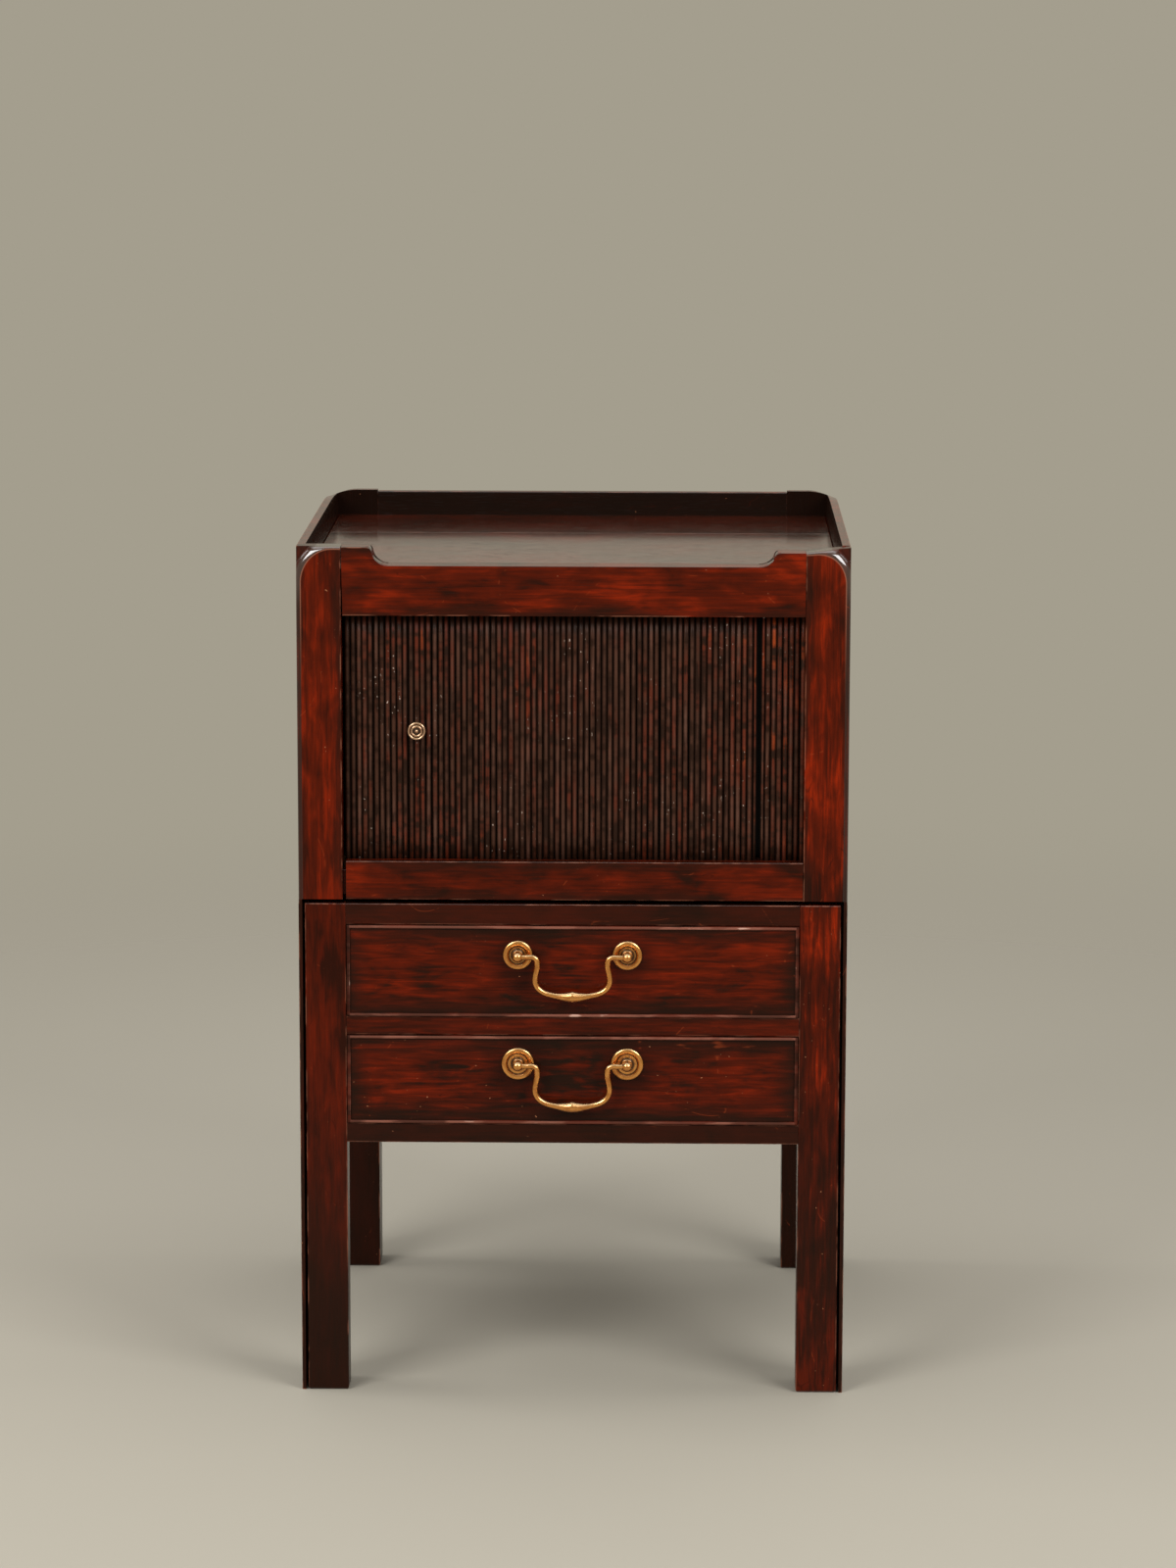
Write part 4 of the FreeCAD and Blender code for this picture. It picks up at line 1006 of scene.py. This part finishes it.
reed_finish = reeded("reeded_mahogany", 40)
print("reeds: finish with", len(reed_finish.node_tree.nodes), "nodes")

# %% Set the reeds on the lead board and on the canvas
lead_bm = bmesh.new()
lead_tone = lead_bm.verts.layers.float.new("reed_tone")
lead_end = Vector((lead_high.x - LEAD_GAP, lead_high.y, lead_high.z))
lead_start = Vector((lead_low.x, canvas_y, lead_low.z))
lead_pitch = (lead_end.x - lead_start.x) / lead_reeds
for i in range(lead_reeds):
    add_reed(lead_bm, lead_tone, Vector((lead_low.x + (i + 0.5) * lead_pitch, canvas_y, 0)), 0.0,
             lead_low.z, lead_high.z)
board_middle = (lead_start + lead_end) / 2
board_size = lead_end - lead_start
bmesh.ops.create_cube(lead_bm, size=1.0, matrix=Matrix.LocRotScale(board_middle, None, board_size))
new_piece("lead_reeds", lead_bm, reed_finish, "tambour", "reeded_wood", "tambour_lead_board")

curtain_bm = bmesh.new()
curtain_tone = curtain_bm.verts.layers.float.new("reed_tone")
curtain_reeds = int((turn_x - curtain_x) / REED_PITCH) + TAIL_REEDS
for i in range(curtain_reeds):
    place, angle = along_door((i + 0.5) * REED_PITCH)
    add_reed(curtain_bm, curtain_tone, place, angle, curtain_low.z, curtain_high.z)
curtain = new_piece("curtain_reeds", curtain_bm, reed_finish, "carcass", "reeded_wood", "tambour_reeds")
print("tambour:", lead_reeds, "reeds on the lead board and", curtain_reeds, "on the canvas")

# %% [markdown]
# ## The canvas behind the reeds
#
# Strong linen canvas holds the reeds together. It shows only from inside the cupboard, as a plain weave that
# is drawn tight over the backs of the reeds and dimples a little between them. It is a grid of quads on the
# door's path, with a Solidify modifier for its thickness. When the door opens, reeds and canvas gather behind
# the right post.

# %% Weave the linen
CANVAS_THICK = 0.8 * MM
THREAD_PITCH = 0.9 * MM
LINEN = paint(150, 128, 96)
LINEN_STAINED = paint(112, 90, 62)
LINEN_THREAD = paint(176, 156, 124)
LINEN_FRONT_SHADE = paint(10, 7, 5)

linen = Finish("canvas_linen", Specular_IOR_Level=0.15, Roughness=0.9)
linen_x, linen_y, linen_z = linen.axes(linen.place())
turns = 2 * math.pi / THREAD_PITCH
weave = (linen_x * turns).sine() * (linen_z * turns).sine()
stain = linen.noise(linen.place(), 9, 4.0)
linen_colour = linen.mix(linen.ramp(stain, 0.35, 0.65), LINEN, LINEN_STAINED)
linen_colour = linen.mix(linen.ramp(weave, -0.2, 0.9) * 0.4, linen_colour, LINEN_THREAD)
# The face towards the reeds is painted near black, as painted shade seen between the reeds.
front_in_shade = linen.ramp(linen_y, canvas_y + CANVAS_THICK * 0.6, canvas_y + CANVAS_THICK * 0.4)
linen.set("Base Color", linen.mix(front_in_shade, linen_colour, LINEN_FRONT_SHADE))
linen.bump(weave * 0.5 + stain, 0.5, 0.3 * MM)
print("linen: a thread every", THREAD_PITCH / MM, "mm")

# %% Stretch the canvas
CANVAS_STEP = REED_PITCH / 4
CANVAS_ROWS = 24
DIMPLE = 0.12 * MM
canvas_long = curtain_reeds * REED_PITCH
canvas_tall = canvas_high.z - canvas_low.z

canvas_bm = bmesh.new()
columns = []
for step in range(round(canvas_long / CANVAS_STEP) + 1):
    along = step * CANVAS_STEP
    place, angle = along_door(along)
    depth = CANVAS_THICK / 2 + DIMPLE * math.cos(2 * math.pi * along / REED_PITCH)
    place = place + Vector((math.sin(angle) * TURN_RADIUS, TURN_RADIUS * (1 - math.cos(angle)), 0))
    place = place + Vector((-math.sin(angle), math.cos(angle), 0)) * depth
    column = []
    for row in range(CANVAS_ROWS + 1):
        place.z = canvas_low.z + canvas_tall * row / CANVAS_ROWS
        column.append(canvas_bm.verts.new(place))
    columns.append(column)
for first, second in zip(columns, columns[1:]):
    for row in range(CANVAS_ROWS):
        canvas_bm.faces.new((first[row], second[row], second[row + 1], first[row + 1]))
canvas = new_piece("curtain_canvas", canvas_bm, linen.material, "carcass", "canvas", "tambour_canvas")
thickness = canvas.modifiers.new("cloth_thickness", "SOLIDIFY")
thickness.thickness = CANVAS_THICK
thickness.offset = 0

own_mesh(curtain)
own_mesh(canvas)

# %% [markdown]
# ## Brass
#
# The handles and the knob are cast brass, turned or filed, then rubbed bright every week for years. Faces
# that look up are painted paler, as painted light, and faces that look down darker, as painted shade. Old
# polish stays brown in the hollows. A turned piece knows its own hollows: where a point of its profile lies
# lower than its neighbours, the lathe writes a number into an attribute, and the finish darkens there.

# %% Polish the brass
BRASS_BRIGHT = paint(238, 164, 82)
BRASS_AGED = paint(196, 118, 48)
BRASS_PALE = paint(222, 182, 150)
BRASS_PALE_AGED = paint(168, 118, 84)
BRASS_LIT = paint(252, 224, 176)
BRASS_SHADE = paint(150, 84, 30)
BRASS_DARK = paint(40, 24, 12)


def brass(name, seed, bright=BRASS_BRIGHT, aged=BRASS_AGED):
    """Painted light on what looks up, painted shade on what looks down, brown in the hollows, with clouds of
    tarnish between.
    """
    metal = Finish(name, Metallic=1.0, Coat_Weight=0.6, Coat_Roughness=0.12)
    hollow = metal.node("Attribute", {"attribute_name": "hollow"}, None, "Fac")
    cloud = metal.noise(drawn_out(metal, seed, "x", 1.0), 160, 4.0, 0.5)
    grain = metal.noise(drawn_out(metal, seed + 1, "x", 1.0), 1500, 2.0)
    tarnish = metal.ramp(cloud, 0.42, 0.7)
    lean = metal.normal()[2]
    colour = metal.mix(tarnish * 0.7, bright, aged)
    # Painted light on faces that look up and painted shade on faces that look down.
    colour = metal.mix(metal.ramp(lean, 0.15, 0.8) * 0.75, colour, BRASS_LIT)
    colour = metal.mix(metal.ramp(lean, -0.1, -0.8) * 0.55, colour, BRASS_SHADE)
    colour = metal.mix(metal.ramp(grain, 0.62, 0.75) * 0.06, colour, BRASS_DARK)
    colour = metal.mix(metal.ramp(hollow + (cloud - 0.5) * 0.2, 0.1, 0.8) * 0.92, colour, BRASS_DARK)
    metal.set("Base Color", colour)
    metal.set("Roughness", 0.24 + tarnish * 0.08 + hollow * 0.25)
    metal.bump(cloud * 0.5 + grain * 0.05, 0.015, 0.1 * MM)
    return metal.material


handle_brass = brass("brass_handles", 50)
print("brass: finish with", len(handle_brass.node_tree.nodes), "nodes")

# %% Turn the roses
TURNED_SIDES = 72
OUT = Vector((0, -1, 0))
ROSE_PLATE = 1.1 * MM
ROSE_EDGE = 0.7 * MM
ROSE_HOLE = 2.7 * MM
ROSE_STEPS = 44
RIM_INSET, RIM_HALF, RIM_HIGH = 2.7 * MM, 2.6 * MM, 1.7 * MM
RIM_FOOT, RIM_FOOT_HALF = 3.0 * MM, 0.4 * MM
COLLAR_MIDDLE, COLLAR_HALF, COLLAR_HIGH = 4.0 * MM, 1.2 * MM, 2.2 * MM
COLLAR_FOOT = 5.2 * MM
COLLAR_DARK = 0.45
ROSE_DARK = 8.4 * MM


def turned(name, profile, place, out, finish, body, slot, *replaced):
    """A turned piece, from points of radius, reach and darkness, about the line from place along out."""
    bm = bmesh.new()
    hollow = bm.verts.layers.float.new("hollow")
    side = out.orthogonal().normalized()
    rings = []
    for radius, reach, dark in profile:
        count = TURNED_SIDES if radius > 0 else 1
        ring = []
        for i in range(count):
            spoke = Matrix.Rotation(2 * math.pi * i / count, 3, out) @ side
            vert = bm.verts.new(place + out * reach + spoke * radius)
            vert[hollow] = min(max(dark, 0.0), 1.0)
            ring.append(vert)
        rings.append(ring)
    for lower, upper in zip(rings, rings[1:]):
        for i in range(TURNED_SIDES):
            j = (i + 1) % TURNED_SIDES
            below = [lower[i % len(lower)], lower[j % len(lower)]]
            above = [upper[j % len(upper)], upper[i % len(upper)]]
            bm.faces.new(list(dict.fromkeys(below + above)))
    return new_piece(name, bm, finish, body, slot, *replaced)


def raised(radius, middle, half, height):
    """How high a turned ring stands at a radius: round on top, nothing beyond its half width."""
    share = (radius - middle) / half
    return height * math.sqrt(1 - share * share) if abs(share) < 1 else 0.0


def rose_profile(radius, hole):
    """A rose: a thin edge, a broad round rim, a dish that darkens inwards and a collar round the post."""
    rim_middle = radius - RIM_INSET
    profile = [(hole, 0.0, 0.0), (radius, 0.0, 0.6), (radius, ROSE_EDGE, 0.4)]
    for step in range(1, ROSE_STEPS):
        place = radius + (hole - radius) * step / ROSE_STEPS
        rim = raised(place, rim_middle, RIM_HALF, RIM_HIGH)
        collar = raised(place, COLLAR_MIDDLE, COLLAR_HALF, COLLAR_HIGH)
        dark = (ROSE_DARK - place) / (ROSE_DARK - COLLAR_FOOT) if place > COLLAR_FOOT else COLLAR_DARK
        foot = 0.75 if abs(place - rim_middle + RIM_FOOT) < RIM_FOOT_HALF else 0.0
        profile.append((place, ROSE_PLATE + max(rim, collar), max(dark, foot)))
    return profile


for level in ("upper", "lower"):
    for hand in ("left", "right"):
        rose = f"{level}_rose_{hand}"
        low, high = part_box(rose)
        middle = (low + high) / 2
        profile = rose_profile((high.x - low.x) / 2, ROSE_HOLE)
        turned("turned_" + rose, profile, Vector((middle.x, high.y, middle.z)), OUT, handle_brass,
               "pull_out", "brass", rose)

print("roses: four, with", len(profile), "profile points")

# %% Turn the knob
KNOB_SHANK = 2.0 * MM
KNOB_NECK = ((0.62, 0.0), (0.64, 0.05), (0.55, 0.12), (0.42, 0.22), (0.4, 0.34), (0.5, 0.46), (0.74, 0.56),
             (0.93, 0.63), (0.995, 0.68), (1.0, 0.73), (0.985, 0.79))
KNOB_RINGS = ((0.86, 0.14, 0.12), (0.53, 0.13, 0.11), (0.0, 0.22, 0.19))
KNOB_FACE, KNOB_FACE_REACH = 0.97, 0.8
KNOB_TIP = 0.99
KNOB_STEPS = 60
KNOB_CREST = 0.09

knob_low, knob_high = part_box("tambour_knob")
knob_radius = (knob_high.x - knob_low.x) / 2
knob_long = reed_front - knob_low.y
shank_end = reed_front - knob_high.y
knob_profile = [(0.0, shank_end, 0.0), (KNOB_SHANK, shank_end, 0.0), (KNOB_SHANK, 0.0, 1.0)]
knob_profile += [(radius * knob_radius, reach * knob_long, 0.8 - reach) for radius, reach in KNOB_NECK]
for step in range(1, KNOB_STEPS):
    share = KNOB_FACE * (1 - step / KNOB_STEPS)
    rings = max(raised(share, *ring) for ring in KNOB_RINGS)
    knob_profile.append((share * knob_radius, (KNOB_FACE_REACH + rings) * knob_long, 1 - rings / KNOB_CREST))
knob_profile.append((0.0, KNOB_TIP * knob_long, 0.0))
knob_middle = (knob_low + knob_high) / 2
turned("turned_knob", knob_profile, Vector((knob_middle.x, reed_front, knob_middle.z)), OUT,
       brass("brass_knob", 55, BRASS_PALE, BRASS_PALE_AGED), "tambour", "brass", "tambour_knob")
print("knob:", round(2 * knob_radius / MM, 1), "mm across")

# %% [markdown]
# ## Swan-neck bails
#
# Each bail is cast in one piece: short pins in the posts, a tight bend, a neck that sweeps out, and a grip
# that hangs in a shallow curve and swells to a crest in the middle. Few points give the line of one half, a
# smooth curve runs through them, and a ring of points is carried along it. The grip is no circle in section:
# its crest rises to a soft ridge on top and is fuller and rounder below, so the ring is stretched upwards and
# downwards by different amounts.

# %% Sweep the bails
BAIL_HALF = ((43.0, 0.0), (36.5, -0.1), (33.0, -2.6), (32.5, -9.0), (34.2, -16.5), (34.4, -23.0),
             (31.6, -28.6), (25.5, -32.6), (16.5, -35.0), (7.5, -36.1), (0.0, -36.4))
BAIL_DROP = 36.4 * MM
PIN_RADIUS = 2.35 * MM
BAR_RADIUS = 2.6 * MM
GRIP_HALF = 19.0 * MM
GRIP_UP = 3.4 * MM
GRIP_DOWN = 2.0 * MM
GRIP_BELOW = 0.8
GRIP_WIDE = 0.9
CREST_SHARP = 1.6
CURVE_STEPS = 6
BAIL_SIDES = 24


def smooth_line(points):
    """A curve through the points, with the neighbours of each stretch setting its bend."""
    line = []
    ends = [2 * points[0] - points[1]] + points + [2 * points[-1] - points[-2]]
    for before, start, end, after in zip(ends, ends[1:], ends[2:], ends[3:]):
        for step in range(CURVE_STEPS):
            t = step / CURVE_STEPS
            bend = (2 * before - 5 * start + 4 * end - after) * t * t
            twist = (3 * start - before - 3 * end + after) * t * t * t
            line.append(start + ((end - before) * t + bend + twist) / 2)
    return line + [points[-1]]


def bail(level):
    """One bail, hung from its joint and stretched to the drop of the frame's own bail."""
    node = f"{level}_bail"
    pivot = Vector(joints[f"{level}_bail_swing"]["pos_m"])
    low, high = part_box(node)
    stretch = (pivot.z - low.z - BAR_RADIUS - GRIP_DOWN) / BAIL_DROP
    half = [Vector((x * MM, 0, z * MM * stretch)) for x, z in BAIL_HALF]
    pin = Vector((high.x, 0, 0))
    mirrored_half = [Vector((-point.x, 0, point.z)) for point in [pin] + half]
    line = smooth_line(mirrored_half + half[-2::-1] + [pin])
    bm = bmesh.new()
    rings = []
    for i, point in enumerate(line):
        ahead = (line[min(i + 1, len(line) - 1)] - line[max(i - 1, 0)]).normalized()
        across = Vector((0, 1, 0))
        up = ahead.cross(across)
        share = min(abs(point.x) / GRIP_HALF, 1.0) if point.z < -GRIP_BELOW * BAIL_DROP else 1.0
        crest = GRIP_UP * (1 - share) ** CREST_SHARP
        belly = GRIP_DOWN * math.cos(share * math.pi / 2) ** 2
        bar = BAR_RADIUS if abs(point.x) < half[0].x else PIN_RADIUS
        ring = []
        for side in range(BAIL_SIDES):
            angle = 2 * math.pi * side / BAIL_SIDES
            rise = math.cos(angle)
            tall = bar + (crest if rise * up.z > 0 else belly)
            wide = bar + (crest + belly) / 2 * GRIP_WIDE
            ring.append(bm.verts.new(pivot + point + up * rise * tall + across * math.sin(angle) * wide))
        rings.append(ring)
    for first, second in zip(rings, rings[1:]):
        for i in range(BAIL_SIDES):
            j = (i + 1) % BAIL_SIDES
            bm.faces.new((first[i], first[j], second[j], second[i]))
    bm.faces.new(rings[0])
    bm.faces.new(rings[-1])
    return new_piece(f"swan_neck_{node}", bm, handle_brass, node, "brass", node)


bails = [bail("upper"), bail("lower")]
print("bails:", [len(piece.data.vertices) for piece in bails], "points")

# %% Dress the fasteners


def dress(material, *names):
    """Put a finish on pieces of the frame that are right as they are."""
    for name in names:
        nodes[name].data.materials.clear()
        nodes[name].data.materials.append(material)


fastener_nodes = [name for name in nodes if "handle_post" in name or name.endswith(("nut", "nuts"))]
dress(brass("brass_fasteners", 60), *fastener_nodes)
print("fasteners:", len(fastener_nodes), "pieces of brass")

# %% [markdown]
# ## Beads, linings and the pan
#
# Three more finishes complete the commode. The cock beads round the drawer fronts take every knock, so their
# dark polish is rubbed pale along the crest, and on the level strips it is painted paler as a highlight. The
# linings nobody sees are plain wood that has gone brown.
# The pan is cream-glazed ware, turned with a rolled rim, with the fine brown crazing that old glaze gets.

# %% Finish the beads
BEAD_RED = paint(84, 32, 20)
BEAD_BROWN = paint(40, 19, 12)
BEAD_RUB_SPOT_AND_GLINT = paint(214, 170, 150)
BEAD_RUBBED_AND_LIT = paint(140, 88, 72)
STRIP_INNER, STRIP_OUTER = 3.2 * MM, 2.2 * MM
CREST_FROM, CREST_FULL = 1.3 * MM, 1.8 * MM


def cock_bead(name, bead, seed):
    """Dark polish with a rubbed crest; the level strips, the top one most, are painted paler than the upright
    ones as a highlight.
    """
    wood = Finish(name, Specular_IOR_Level=0.05)
    low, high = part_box(bead)
    cloud = wood.noise(drawn_out(wood, seed, "x", 0.4), 60, 4.0)
    wear = wood.noise(drawn_out(wood, seed + 2, "x", 0.22), 110, 4.0)
    across, out, height = wood.axes(wood.place())
    level = 1 - wood.ramp(abs(across), high.x - STRIP_INNER, high.x - STRIP_OUTER)
    top = wood.ramp(height, high.z - STRIP_INNER, high.z - STRIP_OUTER)
    colour = wood.mix(wood.ramp(cloud, 0.4, 0.62), BEAD_BROWN, BEAD_RED)
    crest = wood.ramp(front_y - out, CREST_FROM, CREST_FULL)
    # The level strips, and most of all the top one, are painted paler as a highlight; the rest is rubbed
    # polish.
    rub_and_highlight = crest * (0.3 + 0.3 * top + 0.7 * wood.ramp(wear, 0.48, 0.62)) * (0.15 + 0.85 * level)
    colour = wood.mix(rub_and_highlight * 0.95, colour, BEAD_RUBBED_AND_LIT)
    colour = wood.mix(crest * level * wood.ramp(wear, 0.66, 0.72), colour, BEAD_RUB_SPOT_AND_GLINT)
    wood.set("Base Color", colour)
    wood.set("Roughness", 0.28 + wear * 0.15)
    wood.bump(cloud * 0.5 + wear * 0.5, 0.3, 0.4 * MM)
    return wood.material


dress(cock_bead("bead_upper", "upper_cock_bead", 70), "upper_cock_bead")
dress(cock_bead("bead_lower", "lower_cock_bead", 75), "lower_cock_bead")
print("beads: rubbed where they stand", CREST_FROM / MM, "mm out of the front")

# %% Finish the linings
LINING_PALE = paint(128, 92, 56)
LINING_RING = paint(96, 64, 38)
LINING_FIBRE = paint(78, 50, 28)
LINING_STAIN = paint(54, 36, 24)


def lining(name, grain, seed):
    """Wood that was never polished: broad rings, dark fibres and stains."""
    wood = Finish(name, Specular_IOR_Level=0.2)
    ring = wood.noise(drawn_out(wood, seed, grain, 0.03), 85, 3.0, 0.6)
    fibre = wood.noise(drawn_out(wood, seed, grain, 0.02), 500, 3.0)
    stain = wood.noise(wood.place(), 8, 4.0, 0.5)
    colour = wood.mix(wood.ramp(ring, 0.35, 0.68) * 0.6, LINING_PALE, LINING_RING)
    colour = wood.mix(wood.ramp(fibre, 0.45, 0.75) * 0.35, colour, LINING_FIBRE)
    colour = wood.mix(wood.ramp(stain, 0.5, 0.75) * 0.55, colour, LINING_STAIN)
    wood.set("Base Color", colour)
    wood.set("Roughness", 0.7 + (stain - 0.5) * 0.2)
    wood.bump(fibre + ring * 0.5, 0.4, 0.6 * MM)
    return wood.material


across_nodes = ("cupboard_floor", "cupboard_ceiling", "pull_out_back", "out_stop_cleat", "floor_glue_blocks",
                "seat_glue_blocks", "out_stop_catches")
deep_nodes = ("door_liner", "runner_left", "runner_right", "kicker_left", "kicker_right", "stop_block_left",
              "stop_block_right", "pull_out_side_left", "pull_out_side_right")
dress(lining("lining_wide", "x", 80), *across_nodes)
dress(lining("lining_deep", "y", 85), *deep_nodes)
print("linings:", len(across_nodes) + len(deep_nodes), "pieces")

# %% Glaze and turn the pan
GLAZE = paint(226, 220, 204)
GLAZE_WARM = paint(206, 194, 168)
GLAZE_CRAZED = paint(150, 122, 88)
PAN_THROAT = 118.0 * MM
PAN_WALL = 5.0 * MM
PAN_FOOT = 65.0 * MM
PAN_LIP = 6.0 * MM
PAN_BELLY = 0.55
BOWL_STEPS = 16
LIP_STEPS = 8
THROAT_STEPS = 5

glaze = Finish("cream_glaze", Coat_Weight=0.6, Coat_Roughness=0.05)
cell_values = {"Vector": glaze.place(), "Scale": 95.0}
craze = 1 - glaze.ramp(glaze.node("TexVoronoi", {"feature": "DISTANCE_TO_EDGE"}, cell_values), 0.0, 0.03)
tea = glaze.noise(glaze.place(), 12, 4.0)
glaze_colour = glaze.mix(glaze.ramp(tea, 0.4, 0.7) * 0.5, GLAZE, GLAZE_WARM)
glaze_colour = glaze.mix(craze * glaze.ramp(tea, 0.35, 0.6) * 0.5, glaze_colour, GLAZE_CRAZED)
glaze.set("Base Color", glaze_colour)
glaze.set("Roughness", 0.2 + craze * 0.2)
glaze.bump(tea, 0.2, 0.6 * MM)

pan_low, pan_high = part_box("pan")
pan_middle = (pan_low + pan_high) / 2
pan_rim = (pan_high.x - pan_low.x) / 2
pan_tall = pan_high.z - pan_low.z
belly = PAN_BELLY * pan_tall


def swings(turn, steps):
    return [turn * step / steps for step in range(steps + 1)]


def bowl(inset, floor):
    """The inside or outside of the bowl, from its floor up to the throat."""
    points = []
    for swing in swings(math.pi / 2, BOWL_STEPS):
        radius = PAN_FOOT + (PAN_THROAT - PAN_FOOT) * math.sin(swing) - inset
        points.append((radius, floor + (belly - floor) * (1 - math.cos(swing))))
    return points


pan_profile = [(0.0, 0.0)] + bowl(0.0, 0.0) + [(PAN_THROAT, pan_tall - PAN_LIP)]
for swing in swings(math.pi, LIP_STEPS):
    roll = PAN_LIP / 2
    pan_profile.append((pan_rim - roll + roll * math.sin(swing), pan_tall - roll - roll * math.cos(swing)))
for swing in swings(math.pi / 2, THROAT_STEPS):
    radius = PAN_THROAT - PAN_WALL + PAN_WALL * (1 - math.sin(swing))
    pan_profile.append((radius, pan_tall - PAN_WALL * (1 - math.cos(swing))))
pan_profile += bowl(PAN_WALL, PAN_WALL)[::-1] + [(0.0, PAN_WALL)]
pan_profile = [(radius, reach, 0.0) for radius, reach in pan_profile]
turned("glazed_pan", pan_profile, Vector((pan_middle.x, pan_middle.y, pan_low.z)), Vector(AXIS_Z),
       glaze.material, "pull_out", "ceramic", "pan")
print("pan:", len(pan_profile), "profile points")

# %% [markdown]
# The looks may not change the size of the piece.
